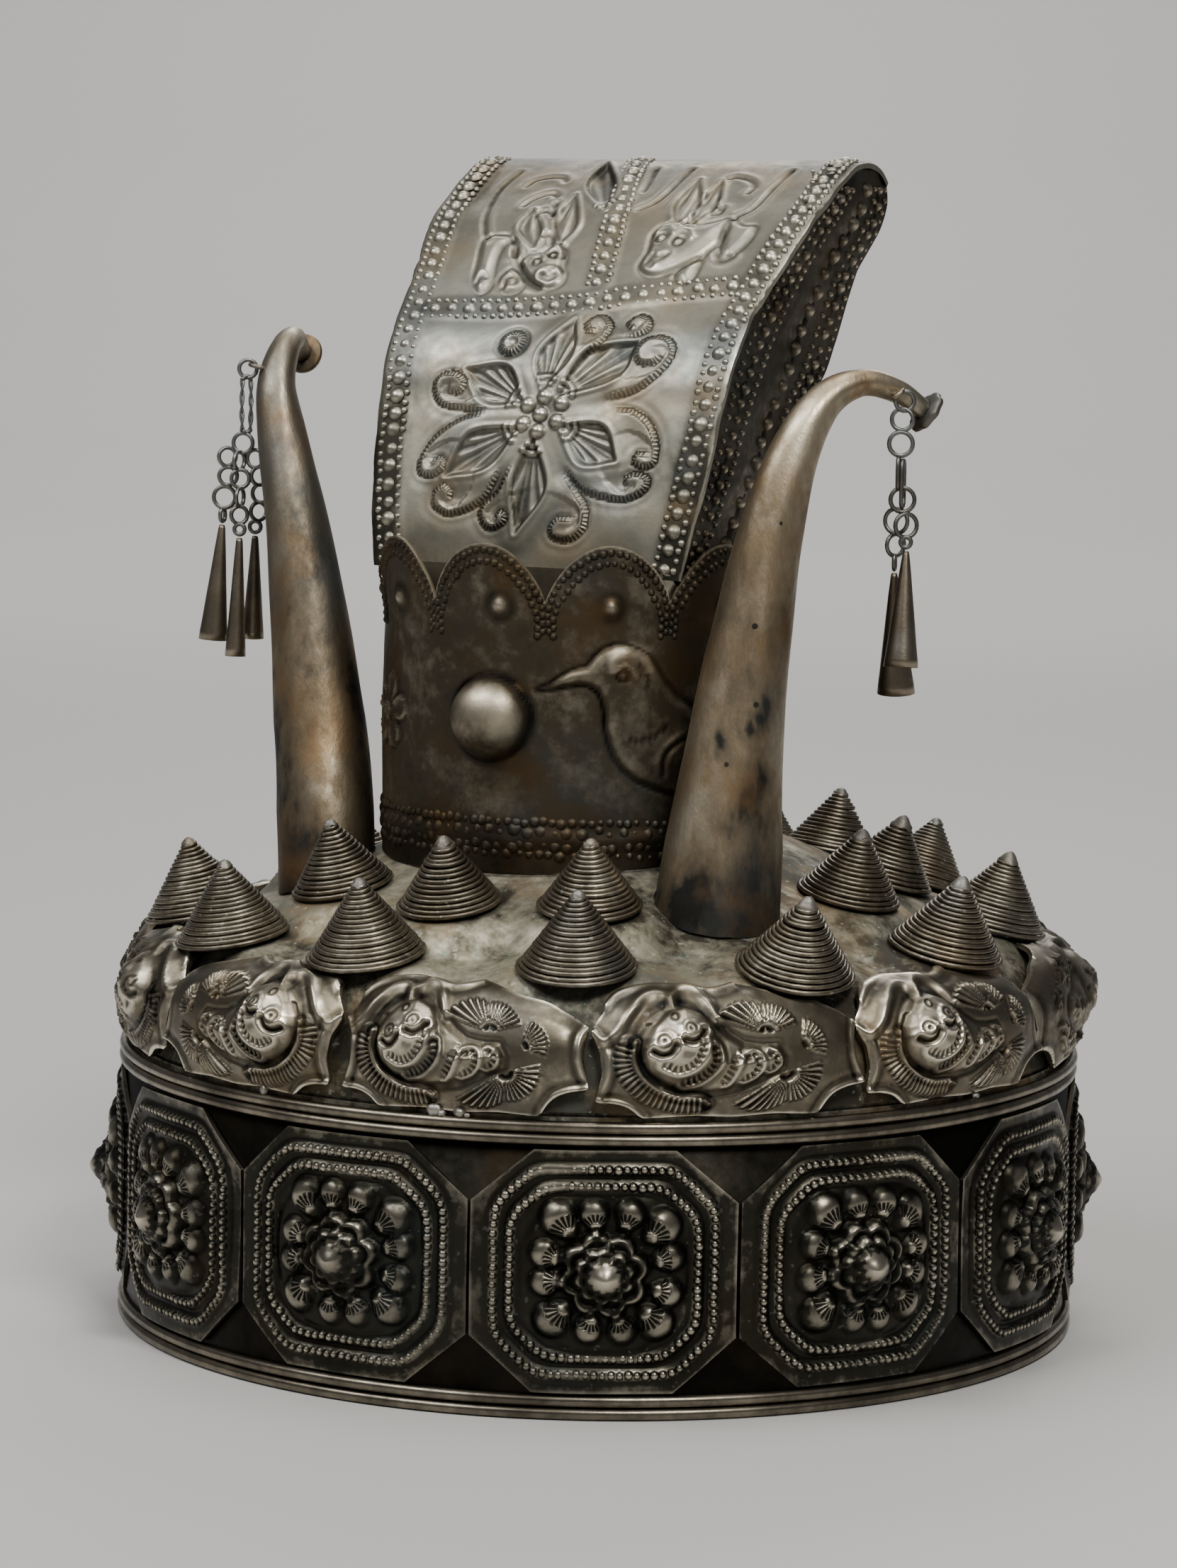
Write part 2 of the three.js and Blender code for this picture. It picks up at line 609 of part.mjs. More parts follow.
// The wall of a horn as a straight tube: its outer surface, and the hollow inside it.
function hornProfile(rows, curve) {
  const length = curve.getLength();
  const lengths = curve.getLengths(rows.length - 1);
  const byLength = rows.map(({ radius }, i) => ({ along: lengths[i], radius }));
  const outer = Array.from({ length: HORN.stations + 1 }, (_, i) => {
    const z = (i / HORN.stations) * length;
    return { r: lookUp(byLength, 'along', 'radius', z), z };
  });
  const hollow = outer
    .filter(({ r }) => r > HORN.solidRadius)
    .map(({ r, z }) => ({ r: r - HORN.wall, z }));
  const finial = [
    { r: FINIAL.radius, z: length },
    { r: FINIAL.radius, z: length + FINIAL.thick },
    { r: 0, z: length + FINIAL.crown },
  ];
  const hollowEnd = { r: 0, z: hollow[hollow.length - 1].z + HORN.wall };
  return [...outer, ...finial, hollowEnd, ...hollow.reverse(), outer[0]];
}

function makeHorn(rows, eye) {
  const curve = new THREE.CatmullRomCurve3(rows.map(({ x, y, z }) => new THREE.Vector3(x, y, z)));
  const length = curve.getLength();
  const steps = HORN.stations;
  const tangential = new THREE.Vector3(-rows[0].y, rows[0].x, 0).normalize();
  const frames = framesAlong(curve, tangential, steps);
  const horn = reshape(turned(hornProfile(rows, curve), HORN.sides), (v) => {
    const station = Math.min(Math.round((v.z / length) * steps), steps);
    const { place, tangent, normal, binormal } = frames[station];
    const beyond = v.z - (station / steps) * length;
    const stretch = 1 + (HORN.footStretch - 1) * Math.max(0, 1 - v.z / HORN.stretchLength);
    const atFoot = v.z < GAP;
    const { x, y } = v;
    v.copy(place).addScaledVector(normal, x * stretch).addScaledVector(binormal, y);
    v.addScaledVector(tangent, beyond);
    if (atFoot) v.z = capHeight(Math.hypot(v.x, v.y)) + GAP;
  });
  return joined([horn, eye]);
}

// ---- Chains and jingles ----

function makeLink(chain, { side, depth, z, wide, tall, turnDeg }) {
  const link = new THREE.TorusGeometry(wide, CHAIN.wire, CHAIN.wireSides, CHAIN.facets).rotateX(Math.PI / 2);
  reshape(link, (v) => {
    v.z += (tall - wide) * THREE.MathUtils.clamp((2 * v.z) / wide, -1, 1);
  });
  link.rotateZ(rad(CHAIN.planeDeg + turnDeg));
  const place = inPlane(chain, side, depth, z);
  return link.translate(place.x, place.y, place.z);
}

function makeChain(chain, links) {
  return joined(links.map((link) => makeLink(chain, link)));
}

// A hollow jingle, open downwards, hanging from its tip at the origin.
function makeBell({ length, radius }) {
  return turned([
    { r: 0, z: 0 },
    { r: BELL.tip, z: 0 },
    { r: radius, z: -length },
    { r: radius - BELL.wall, z: -length },
    { r: 0, z: -BELL.solidLength },
  ], BELL.sides);
}

// ---- Assembly ----

addPiece('band', makeBand(), MATERIALS.band);
addPiece('cap', makeCap(), MATERIALS.cap);

const octagon = makeOctagon();
for (let i = 0; i < OCTAGONS; i += 1) {
  addPiece(numbered('octagon', i), octagon, MATERIALS.octagon).rotation.z = rad(FIRST_OCTAGON_DEG + (i * 360) / OCTAGONS);
}
FISH_PLAQUES.forEach(({ azimuthDeg, width }, i) => {
  addPiece(numbered('fish_plaque', i), makeFishPlaque(width), MATERIALS.fish).rotation.z = rad(azimuthDeg);
});

addCones(OUTER_CONES, 'outer_cone', OUTER_CONE);
addCones(INNER_CONES, 'inner_cone', INNER_CONE);

addPiece('collar', makeCollar(), MATERIALS.collar, crown);
addPiece('crest_front', makeCrestFront(), MATERIALS.crest, crown);
addPiece('crest_back', makeCrestBack(), MATERIALS.crest, crown);

addPiece('horn_right', makeHorn(HORN_RIGHT_ROWS, makeEye(CHAIN_RIGHT, EYE_RIGHT)), MATERIALS.horn);
addPiece('horn_left', makeHorn(HORN_LEFT_ROWS, makeEye(CHAIN_LEFT, EYE_LEFT)), MATERIALS.horn);

addPiece('chain_right', makeChain(CHAIN_RIGHT, LINKS_RIGHT), MATERIALS.chain);
addPiece('chain_left', makeChain(CHAIN_LEFT, LINKS_LEFT), MATERIALS.chain);

BELLS.forEach((bell, i) => {
  const hanging = new THREE.Group();
  hanging.position.copy(inPlane(bell.chain, bell.side, bell.depth, bell.tip));
  hanging.rotation.z = rad(CHAIN.planeDeg);
  group.add(hanging);
  const piece = addPiece(numbered('bell', i), makeBell(bell), MATERIALS.bell, hanging);
  piece.rotation.set(rad(bell.leanDepth), -rad(bell.leanSide), 0);
});

export default group;
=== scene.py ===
"""Looks of the silver headdress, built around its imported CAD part.

Charts below are in millimetres; a chart is the flat layout of a sheet before it is bent into place.
"""

import math

import bpy
import numpy as np
from mathutils import Matrix, Vector


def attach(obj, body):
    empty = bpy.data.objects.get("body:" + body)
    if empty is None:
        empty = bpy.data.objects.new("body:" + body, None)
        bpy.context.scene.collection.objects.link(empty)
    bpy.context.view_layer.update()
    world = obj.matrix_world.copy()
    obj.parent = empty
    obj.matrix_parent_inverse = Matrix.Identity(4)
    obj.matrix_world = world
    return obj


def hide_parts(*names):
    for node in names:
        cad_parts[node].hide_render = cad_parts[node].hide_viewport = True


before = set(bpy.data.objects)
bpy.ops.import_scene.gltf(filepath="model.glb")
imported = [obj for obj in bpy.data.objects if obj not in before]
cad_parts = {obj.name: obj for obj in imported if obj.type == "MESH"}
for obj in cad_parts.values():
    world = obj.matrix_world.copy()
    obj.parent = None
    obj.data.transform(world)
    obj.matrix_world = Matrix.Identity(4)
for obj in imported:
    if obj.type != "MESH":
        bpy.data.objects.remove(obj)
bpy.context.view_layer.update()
MM = 0.001

# ---------------------------------------------------------------- sizes, as in the CAD part

BAND = {"outer": 108.3, "wire": 1.3, "ring": 108.7, "wires": (1.3, 4.0, 59.4, 62.1)}
OCTAGON = {
    "count": 12, "first": 1.0, "half": 28.25, "tall": 25.8, "cut_across": 13.4, "cut_up": 11.4,
    "low": 5.9, "high": 57.5, "radius": 109.35,
}
SHOULDER_LIFT = 1.3
PLAQUES = [  # azimuth of the middle, width against the outline's, whether the fish faces right
    (14.5, 0.92, False), (45.1, 1.0, False), (76.9, 1.0, False), (107.6, 0.94, True),
    (137.3, 0.94, False), (166.9, 0.94, True), (196.5, 0.94, False), (226.1, 0.94, False),
    (255.7, 0.94, True), (285.3, 0.94, False), (314.8, 0.94, True), (344.2, 0.95, True),
]
SEEN_OCTAGONS = (11, 0, 1, 2, 3)  # these get a finer grid
SEEN_PLAQUES = (11, 0, 1, 2)
CAP_R = np.array([107.0, 107.0, 106.4, 104.6, 101.0, 95.0, 78.0, 66.0, 54.0, 44.0, 24.0, 0.0])
CAP_Z = np.array([56.0, 63.5, 72.0, 79.0, 84.8, 88.4, 93.6, 99.7, 105.5, 109.8, 114.0, 115.6])
CONES = {"outer": (12.8, 18.0), "inner": (11.4, 16.2)}  # radius of the foot and height
CROWN = {"x": -2.5, "y": -8.0, "turn": 3.0}
COLLAR = {"radius": 44.3, "rim": 46.0, "valley": 166.5, "apex": 179.5, "scallops": 10, "flare": 162.0}
CREST_Z = np.array([171.8, 183, 196, 209.5, 216, 224, 232, 240, 249, 255, 260, 263.5])
CREST_FRONT = np.array([-27.3, -25.3, -21.7, -17.2, -15.0, -10.5, -3.0, 4.7, 14.0, 22.8, 30.5, 38.0])
CREST_BACK = np.array([2.0, 11.5, 20.5, 29.5, 37.5, 42.5, 45.7, 48.6, 56.2, 58.5, 57.3, 52.5])
CREST_HALF = np.array([38.6, 40.5, 42.4, 43.4, 43.9, 44.3, 45.3, 46.6, 48.6, 49.3, 49.4, 49.5])
CREST_TOP = (45.5, 264.6)
CHAIN = {"plane": 30.0, "wire": 0.5}  # azimuth of the plane they hang in, radius of the wire

HORN_ROWS = {  # x, y, z, radius of the tube, from the foot to the tip
    "horn_right": [
        (50.3, -36.6, 99.5, 11.4), (50.6, -34.6, 115, 11.6), (51.2, -32.0, 135, 10.9),
        (52.9, -28.2, 160, 9.0), (55.0, -25.0, 181, 7.4), (58.0, -21.2, 198, 5.9),
        (62.6, -15.3, 211, 4.3), (68.1, -8.3, 215.6, 3.1), (73.3, -1.7, 214, 2.8),
        (77.6, 3.8, 209.6, 2.3),
    ],
    "horn_left": [
        (-52.6, -34.6, 99.5, 11.2), (-54.4, -32.8, 115, 11.3), (-58.0, -30.2, 135, 10.7),
        (-63.0, -27.5, 160, 9.0), (-68.4, -25.2, 181, 7.3), (-74.0, -22.6, 199, 5.9),
        (-77.3, -20.4, 211, 4.6), (-78.8, -14.6, 219.6, 3.5), (-82.0, -6.0, 221.4, 2.9),
        (-85.4, 2.0, 218.2, 2.4),
    ],
}


# ---------------------------------------------------------------- camera and stage

def add_object(name, data):
    made = bpy.data.objects.new(name, data)
    bpy.context.scene.collection.objects.link(made)
    return made


def make_camera():
    data = bpy.data.cameras.new("camera")
    data.lens = 108.34
    data.sensor_width = 36.0
    camera = add_object("camera", data)
    forward = Vector((-0.4995, 0.8590, -0.1126)).normalized()
    up = Vector((-0.0711, 0.0889, 0.9935))
    right = forward.cross(up).normalized()
    up = right.cross(forward)
    rotation = Matrix((right, up, -forward)).transposed()
    camera.matrix_world = Matrix.Translation((0.5375, -0.9309, 0.2435)) @ rotation.to_4x4()
    bpy.context.scene.camera = camera


def area_light(name, place, target, size, power, colour):
    data = bpy.data.lights.new(name, "AREA")
    data.shape = "RECTANGLE"
    data.size, data.size_y = size
    data.energy = power
    data.color = colour
    light = add_object(name, data)
    light.location = place
    light.rotation_euler = (Vector(target) - Vector(place)).to_track_quat("-Z", "Y").to_euler()


# ---------------------------------------------------------------- node materials

def wire_up(tree, target, value):
    if isinstance(value, bpy.types.NodeSocket):
        tree.links.new(value, target)
    else:
        target.default_value = value


def node(tree, kind, settings=None, **inputs):
    """A new shader node; inputs are sockets or constants, named with _ for a space, or i0, i1 by place."""
    made = tree.nodes.new(kind)
    for key, value in (settings or {}).items():
        setattr(made, key, value)
    for key, value in inputs.items():
        by_place = key[0] == "i" and key[1:].isdigit()
        wire_up(tree, made.inputs[int(key[1:]) if by_place else key.replace("_", " ")], value)
    return made


def math_node(tree, operation, *values, clamp=False):
    inputs = {f"i{i}": v for i, v in enumerate(values)}
    return node(tree, "ShaderNodeMath", {"operation": operation, "use_clamp": clamp}, **inputs).outputs[0]


def remap(tree, value, low, high, to_low=0.0, to_high=1.0):
    made = node(tree, "ShaderNodeMapRange", None, Value=value, From_Min=low, From_Max=high, To_Min=to_low,
                To_Max=to_high)
    return made.outputs["Result"]


def mix_colour(tree, factor, a, b):
    made = tree.nodes.new("ShaderNodeMix")
    made.data_type = "RGBA"
    wire_up(tree, made.inputs["Factor"], factor)
    wire_up(tree, made.inputs[6], a)
    wire_up(tree, made.inputs[7], b)
    return made.outputs[2]


def noise(tree, place, scale, detail=4.0, roughness=0.55):
    return node(tree, "ShaderNodeTexNoise", None, Vector=place, Scale=scale, Detail=detail,
                Roughness=roughness).outputs["Fac"]


def attribute(tree, name):
    return node(tree, "ShaderNodeAttribute", {"attribute_name": name}).outputs["Fac"]


def rgba(colour):
    return (colour[0], colour[1], colour[2], 1.0)


def aged_silver(name, bright, middle, dirt, polish=0.30, dull=0.55, mottle=0.5, patch=(0.30, 0.33, 0.36),
                patchy=0.35, verdigris=0.0, chips=0.0, metal=1.0, grain=0.5, warmth=0.4, blotches=90.0,
                stretch=(1.0, 1.0, 1.0)):
    """Silver with dirt in its hollows, polish on what stands proud, mottling, patches, chips and fine grain.

    The mesh attributes wear (0 hollow, 1 proud; in places it also holds painted highlights and painted
    shade), phase and strokes (engraved lines) drive it."""
    material = bpy.data.materials.new(name)
    material.use_nodes = True
    tree = material.node_tree
    shader = tree.nodes["Principled BSDF"]
    place = node(tree, "ShaderNodeTexCoord").outputs["Object"]
    stretched = node(tree, "ShaderNodeMapping", None, Vector=place, Scale=stretch).outputs[0]
    broad = noise(tree, stretched, 26.0, 5.0)
    blotch = noise(tree, stretched, blotches, 6.0, 0.62)
    speck = noise(tree, stretched, 420.0, 5.0, 0.6)
    fine = noise(tree, stretched, 1900.0, 3.0)
    wear = attribute(tree, "wear")
    phase = attribute(tree, "phase")
    strokes = attribute(tree, "strokes")
    wave = math_node(tree, "MULTIPLY_ADD", math_node(tree, "SINE", phase), 0.5, 0.5)
    cut = math_node(tree, "MULTIPLY", wave, strokes)
    lifted = math_node(tree, "SUBTRACT", wear, math_node(tree, "MULTIPLY", cut, 0.36))
    uneven = math_node(tree, "MULTIPLY_ADD", math_node(tree, "SUBTRACT", blotch, 0.5), mottle, lifted)
    uneven = math_node(tree, "MULTIPLY_ADD", math_node(tree, "SUBTRACT", speck, 0.5), mottle * 0.5,
                       uneven)
    low = remap(tree, uneven, 0.12, 0.5)
    high = remap(tree, uneven, 0.5, 0.92)
    colour = mix_colour(tree, low, rgba(dirt), rgba(middle))
    colour = mix_colour(tree, high, colour, rgba(bright))
    cool = remap(tree, broad, 0.52, 0.68, 0.0, patchy)
    colour = mix_colour(tree, cool, colour, rgba(patch))
    warm = remap(tree, noise(tree, place, 55.0, 4.0), 0.50, 0.68, 0.0, warmth)
    colour = mix_colour(tree, warm, colour, rgba([c * k for c, k in zip(middle, (1.12, 0.86, 0.62))]))
    if verdigris:
        green = remap(tree, noise(tree, place, 700.0, 2.0), 0.70, 0.74, 0.0, verdigris)
        colour = mix_colour(tree, green, colour, (0.17, 0.42, 0.36, 1.0))
    if chips:
        pale = remap(tree, noise(tree, place, 560.0, 1.0), 0.705, 0.72, 0.0, chips)
        colour = mix_colour(tree, pale, colour, (0.60, 0.60, 0.55, 1.0))
    rough = math_node(tree, "MULTIPLY_ADD", math_node(tree, "SUBTRACT", speck, 0.5), 0.6, uneven)
    rough = remap(tree, rough, 0.15, 0.95, dull, polish)
    relief = math_node(tree, "MULTIPLY", fine, 0.00002 * grain)
    relief = math_node(tree, "MULTIPLY_ADD", speck, 0.00006 * grain, relief)
    relief = math_node(tree, "MULTIPLY_ADD", blotch, 0.00012 * grain, relief)
    relief = math_node(tree, "SUBTRACT", relief, math_node(tree, "MULTIPLY", cut, 0.00022))
    bump = node(tree, "ShaderNodeBump", None, Strength=1.0, Distance=1.0, Height=relief)
    wire_up(tree, shader.inputs["Base Color"], colour)
    wire_up(tree, shader.inputs["Roughness"], rough)
    wire_up(tree, shader.inputs["Normal"], bump.outputs["Normal"])
    shader.inputs["Metallic"].default_value = metal
    return material


# ---------------------------------------------------------------- mesh helpers

def unit(vectors):
    return vectors / np.linalg.norm(vectors, axis=-1, keepdims=True)


def length_along(line):
    """The length from a line's first point to each of its points."""
    return np.concatenate([[0], np.cumsum(np.linalg.norm(np.diff(line, axis=0), axis=1))])


def read(at, steps, table):
    """The columns of a table, each read at the given lengths."""
    return [np.interp(at, steps, column) for column in table.T]


def about_axis(radius, azimuth, z):
    """Points round the upright axis; azimuth 0 is the front and grows towards the right."""
    return np.stack(np.broadcast_arrays(radius * np.sin(azimuth), -radius * np.cos(azimuth), z), -1)


def ring_about(centre, radius, angle, side, other):
    """Points of a ring spanned by two cross directions; radius may change round it."""
    return centre + (radius * np.cos(angle))[:, None] * side + (radius * np.sin(angle))[:, None] * other


def carry(normal, tangents):
    """A cross direction carried along a path without twisting."""
    normals = []
    for t in tangents:
        normal = unit(normal - normal.dot(t) * t)
        normals.append(normal)
    return np.array(normals)


class Parts:
    """Gathers the points of one piece, in millimetres, with their wear and painted light, phase and strokes,
    and its faces.
    """

    def __init__(self):
        self.points, self.data, self.quads, self.tris = [], [], [], []
        self.count = 0

    def add(self, points, quads=None, tris=None, wear=0.5, phase=0.0, strokes=0.0):
        points = np.asarray(points, float)
        extra = np.empty((len(points), 3))
        extra[:, 0], extra[:, 1], extra[:, 2] = wear, phase, strokes
        self.points.append(points)
        self.data.append(extra)
        if quads is not None and len(quads):
            self.quads.append(np.asarray(quads) + self.count)
        if tris is not None and len(tris):
            self.tris.append(np.asarray(tris) + self.count)
        self.count += len(points)

    def build(self, name, material, nodes=()):
        points = np.concatenate(self.points) * MM
        data = np.concatenate(self.data)
        quads = np.concatenate(self.quads) if self.quads else np.zeros((0, 4), int)
        tris = np.concatenate(self.tris) if self.tris else np.zeros((0, 3), int)
        mesh = bpy.data.meshes.new(name)
        loops = np.concatenate([quads.ravel(), tris.ravel()])
        starts = np.concatenate([np.arange(len(quads)) * 4, len(quads) * 4 + np.arange(len(tris)) * 3])
        mesh.vertices.add(len(points))
        mesh.vertices.foreach_set("co", points.ravel())
        mesh.loops.add(len(loops))
        mesh.loops.foreach_set("vertex_index", loops.astype(np.int32))
        mesh.polygons.add(len(starts))
        mesh.polygons.foreach_set("loop_start", starts.astype(np.int32))
        mesh.polygons.foreach_set("use_smooth", np.ones(len(starts), bool))
        for column, key in enumerate(("wear", "phase", "strokes")):
            values = data[:, column].astype(np.float32)
            mesh.attributes.new(key, "FLOAT", "POINT").data.foreach_set("value", values)
        mesh.update(calc_edges=True)
        mesh.validate()
        piece = add_object(name, mesh)
        piece.data.materials.append(material)
        if nodes:
            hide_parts(*nodes)
        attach(piece, "root")


def grid_quads(rows, columns, wrap=False):
    """Quads of a grid of points stored row by row; wrap joins the last column to the first."""
    i, j = np.meshgrid(np.arange(rows - 1), np.arange(columns if wrap else columns - 1), indexing="ij")
    k = (j + 1) % columns
    a, b, c, d = i * columns + j, i * columns + k, (i + 1) * columns + k, (i + 1) * columns + j
    return np.stack([a, b, c, d], -1).reshape(-1, 4)


def lathe(parts, profile, segments, wear):
    """A profile of radius and height, turned about the upright axis."""
    angle = np.linspace(0, 2 * np.pi, segments, endpoint=False)
    r, z = np.array(profile, float).T
    points = about_axis(r[:, None], angle, z[:, None]).reshape(-1, 3)
    parts.add(points, grid_quads(len(r), segments, wrap=True), wear=wear)


def frames_along(path):
    """Two cross directions at every point of a path, carried along without twisting."""
    path = np.asarray(path, float)
    tangent = unit(np.gradient(path, axis=0))
    seed = np.array([0.0, 0.0, 1.0]) if abs(tangent[0, 2]) < 0.9 else np.array([1.0, 0.0, 0.0])
    normals = carry(seed, tangent)
    return normals, np.cross(tangent, normals)


def sweep(parts, path, radius, sides=8, closed=False, wear=0.5):
    """A round wire along a path; radius may change along it."""
    path = np.asarray(path, float)
    normal, binormal = frames_along(np.vstack([path, path[:2]]) if closed else path)
    normal, binormal = normal[: len(path)], binormal[: len(path)]
    angle = np.linspace(0, 2 * np.pi, sides, endpoint=False)
    radius = np.broadcast_to(radius, (len(path),))[:, None, None]
    ring = normal[:, None] * np.cos(angle)[:, None] + binormal[:, None] * np.sin(angle)[:, None]
    points = (path[:, None] + ring * radius).reshape(-1, 3)
    quads = grid_quads(len(path), sides, wrap=True)
    if closed:
        j = np.arange(sides)
        k = (j + 1) % sides
        last = (len(path) - 1) * sides
        quads = np.vstack([quads, np.stack([last + j, last + k, k, j], -1)])
    parts.add(points, quads, wear=wear)


def turn_about_z(points, degrees):
    a = math.radians(degrees)
    points = np.asarray(points, float)
    x = points[..., 0] * math.cos(a) - points[..., 1] * math.sin(a)
    y = points[..., 0] * math.sin(a) + points[..., 1] * math.cos(a)
    return np.stack([x, y, points[..., 2]], -1)


def to_crown(points):
    return turn_about_z(points, CROWN["turn"]) + np.array([CROWN["x"], CROWN["y"], 0.0])


def smooth_curve(points, steps=12, closed=False):
    """Catmull-Rom curve through points of any dimension."""
    p = np.asarray(points, float)
    p = np.vstack([p[-1:], p, p[:2]]) if closed else np.vstack([2 * p[0] - p[1], p, 2 * p[-1] - p[-2]])
    t = np.linspace(0, 1, steps, endpoint=False)[:, None]
    out = []
    for a, b, c, d in zip(p[:-3], p[1:-2], p[2:-1], p[3:]):
        curved = (2 * a - 5 * b + 4 * c - d) * t**2 + (3 * b - a - 3 * c + d) * t**3
        out.append(0.5 * (2 * b + (c - a) * t + curved))
    out = np.vstack(out)
    return out if closed else np.vstack([out, p[-2:-1]])


def evenly(points, pitch, closed=False):
    """Points spaced evenly along a curve."""
    p = np.asarray(points, float)
    if closed:
        p = np.vstack([p, p[:1]])
    length = length_along(p)
    count = max(2, int(round(length[-1] / pitch)))
    at = np.linspace(0, length[-1], count if closed else count + 1, endpoint=not closed)
    return np.stack([np.interp(at, length, p[:, k]) for k in range(p.shape[1])], -1)


# ---------------------------------------------------------------- relief on a chart

def ease(x):
    """0 below 0 and 1 above 1, with a soft step between."""
    x = np.clip(x, 0, 1)
    return x * x * (3 - 2 * x)


def hump(x, width):
    """1 where x is 0, falling softly to nothing at about twice the width."""
    return np.exp(-((x / width) ** 2))


class Relief:
    """Height of a sheet over its flat chart, and the engraved strokes on it."""

    def __init__(self, u, v):
        self.u, self.v = u, v
        self.height = np.zeros_like(u)
        self.phase = np.zeros_like(u)
        self.strokes = np.zeros_like(u)
        self.wear = np.zeros_like(u)

    def away(self, line):
        """Distance from a polyline, the length along it of the nearest point, and which side it is on."""
        best = np.full(self.u.shape, 1e9)
        along = np.zeros_like(self.u)
        side = np.ones_like(self.u)
        line = np.asarray(line, float)
        run = 0.0
        for (ax, ay), (bx, by) in zip(line[:-1], line[1:]):
            dx, dy = bx - ax, by - ay
            length = math.hypot(dx, dy)
            if length < 1e-9:
                continue
            t = np.clip(((self.u - ax) * dx + (self.v - ay) * dy) / length**2, 0, 1)
            gap = np.hypot(self.u - ax - t * dx, self.v - ay - t * dy)
            near = gap < best
            best = np.where(near, gap, best)
            along = np.where(near, run + t * length, along)
            side = np.where(near, np.sign(dx * (self.v - ay) - dy * (self.u - ax)), side)
            run += length
        return best, along, side

    def inside(self, outline):
        """Signed distance to a closed outline: positive inside it."""
        outline = np.asarray(outline, float)
        gap, _, _ = self.away(np.vstack([outline, outline[:1]]))
        within = np.zeros(self.u.shape, bool)
        for (ax, ay), (bx, by) in zip(outline, np.roll(outline, -1, axis=0)):
            if ay == by:
                continue
            crosses = (ay > self.v) != (by > self.v)
            within ^= crosses & (self.u < ax + (self.v - ay) * (bx - ax) / (by - ay))
        return np.where(within, gap, -gap)

    def dents(self, rng, count, across, up, sizes, depths):
        """Shallow dents and swellings at random places."""
        for _ in range(count):
            u, v, size = rng.uniform(*across), rng.uniform(*up), rng.uniform(*sizes)
            gap = (self.u - u) ** 2 + (self.v - v) ** 2
            self.height += rng.uniform(*depths) * np.exp(-(gap / size**2))

    def press(self, shape, height, wear):
        """Raises the sheet by a shape from 0 to 1, and polishes or darkens it there."""
        self.height += height * shape
        self.wear += wear * shape

    def dome(self, u, v, radius, height, wear=0.15):
        gap = np.hypot(self.u - u, self.v - v) / radius
        self.press(np.sqrt(np.clip(1 - gap**2, 0, 1)), height, wear)
        self.wear -= 0.25 * hump(gap - 1.08, 0.12)

    def engrave(self, mask, phase, depth=1.0):
        """Strokes whose waves run with phase, where mask (0 to 1) lets them show."""
        mask = np.clip(mask, 0, 1) * depth
        over = mask > self.strokes
        self.phase = np.where(over, phase, self.phase)
        self.strokes = np.maximum(self.strokes, mask)

    def chase(self, mask, phase, depth, sink, shade, shine=0.0):
        """Engraved strokes that are sunk a little too, dark between brighter ridges."""
        wave = 0.5 + 0.5 * np.sin(phase)
        self.engrave(mask, phase, depth)
        self.press(mask * wave, -sink, -shade)
        self.wear += shine * mask


def sheet(parts, relief, shape, place, keep, back):
    """Turns a relief on a grid into a mesh, cut to the outline keep, with an edge turned back."""
    u, v = relief.u.copy(), relief.v.copy()
    keep = np.asarray(keep, float)
    gap = relief.inside(keep)
    quads = grid_quads(*shape)
    quads = quads[(gap[quads] > 0).any(axis=1)]
    out = gap <= 0
    u[out], v[out] = nearest_on(np.vstack([keep, keep[:1]]), u[out], v[out])
    used = np.zeros(len(u), bool)
    used[quads.ravel()] = True
    index = np.cumsum(used) - 1
    quads = index[quads]
    u, v = u[used], v[used]
    height = relief.height[used]
    wear = np.clip(0.5 + relief.wear[used], 0, 1)
    parts.add(place(u, v, height), quads, wear=wear, phase=relief.phase[used],
              strokes=relief.strokes[used])
    edges = np.concatenate([quads[:, [0, 1]], quads[:, [1, 2]], quads[:, [2, 3]], quads[:, [3, 0]]])
    key = np.sort(edges, axis=1)
    _, first, counts = np.unique(key[:, 0] * (len(u) + 1) + key[:, 1], return_index=True,
                                 return_counts=True)
    rim = edges[first[counts == 1]]
    lip, where = np.unique(rim, return_inverse=True)
    where = where.reshape(rim.shape)
    front = place(u[lip], v[lip], height[lip])
    behind = place(u[lip], v[lip], height[lip] - back)
    n = len(lip)
    walls = np.stack([where[:, 1], where[:, 0], where[:, 0] + n, where[:, 1] + n], -1)
    parts.add(np.vstack([front, behind]), walls, wear=0.62)


def nearest_on(line, u, v):
    best = np.full(u.shape, 1e9)
    bu, bv = u.copy(), v.copy()
    for (ax, ay), (bx, by) in zip(line[:-1], line[1:]):
        dx, dy = bx - ax, by - ay
        t = np.clip(((u - ax) * dx + (v - ay) * dy) / max(dx * dx + dy * dy, 1e-12), 0, 1)
        pu, pv = ax + t * dx, ay + t * dy
        gap = np.hypot(u - pu, v - pv)
        near = gap < best
        best, bu, bv = np.where(near, gap, best), np.where(near, pu, bu), np.where(near, pv, bv)
    return bu, bv


def chart(u0, u1, v0, v1, pitch):
    """Flat arrays of a grid that covers a rectangle, and its rows and columns."""
    columns = int(round((u1 - u0) / pitch)) + 1
    rows = int(round((v1 - v0) / pitch)) + 1
    v, u = np.meshgrid(np.linspace(v0, v1, rows), np.linspace(u0, u1, columns), indexing="ij")
    return u.ravel(), v.ravel(), (rows, columns)


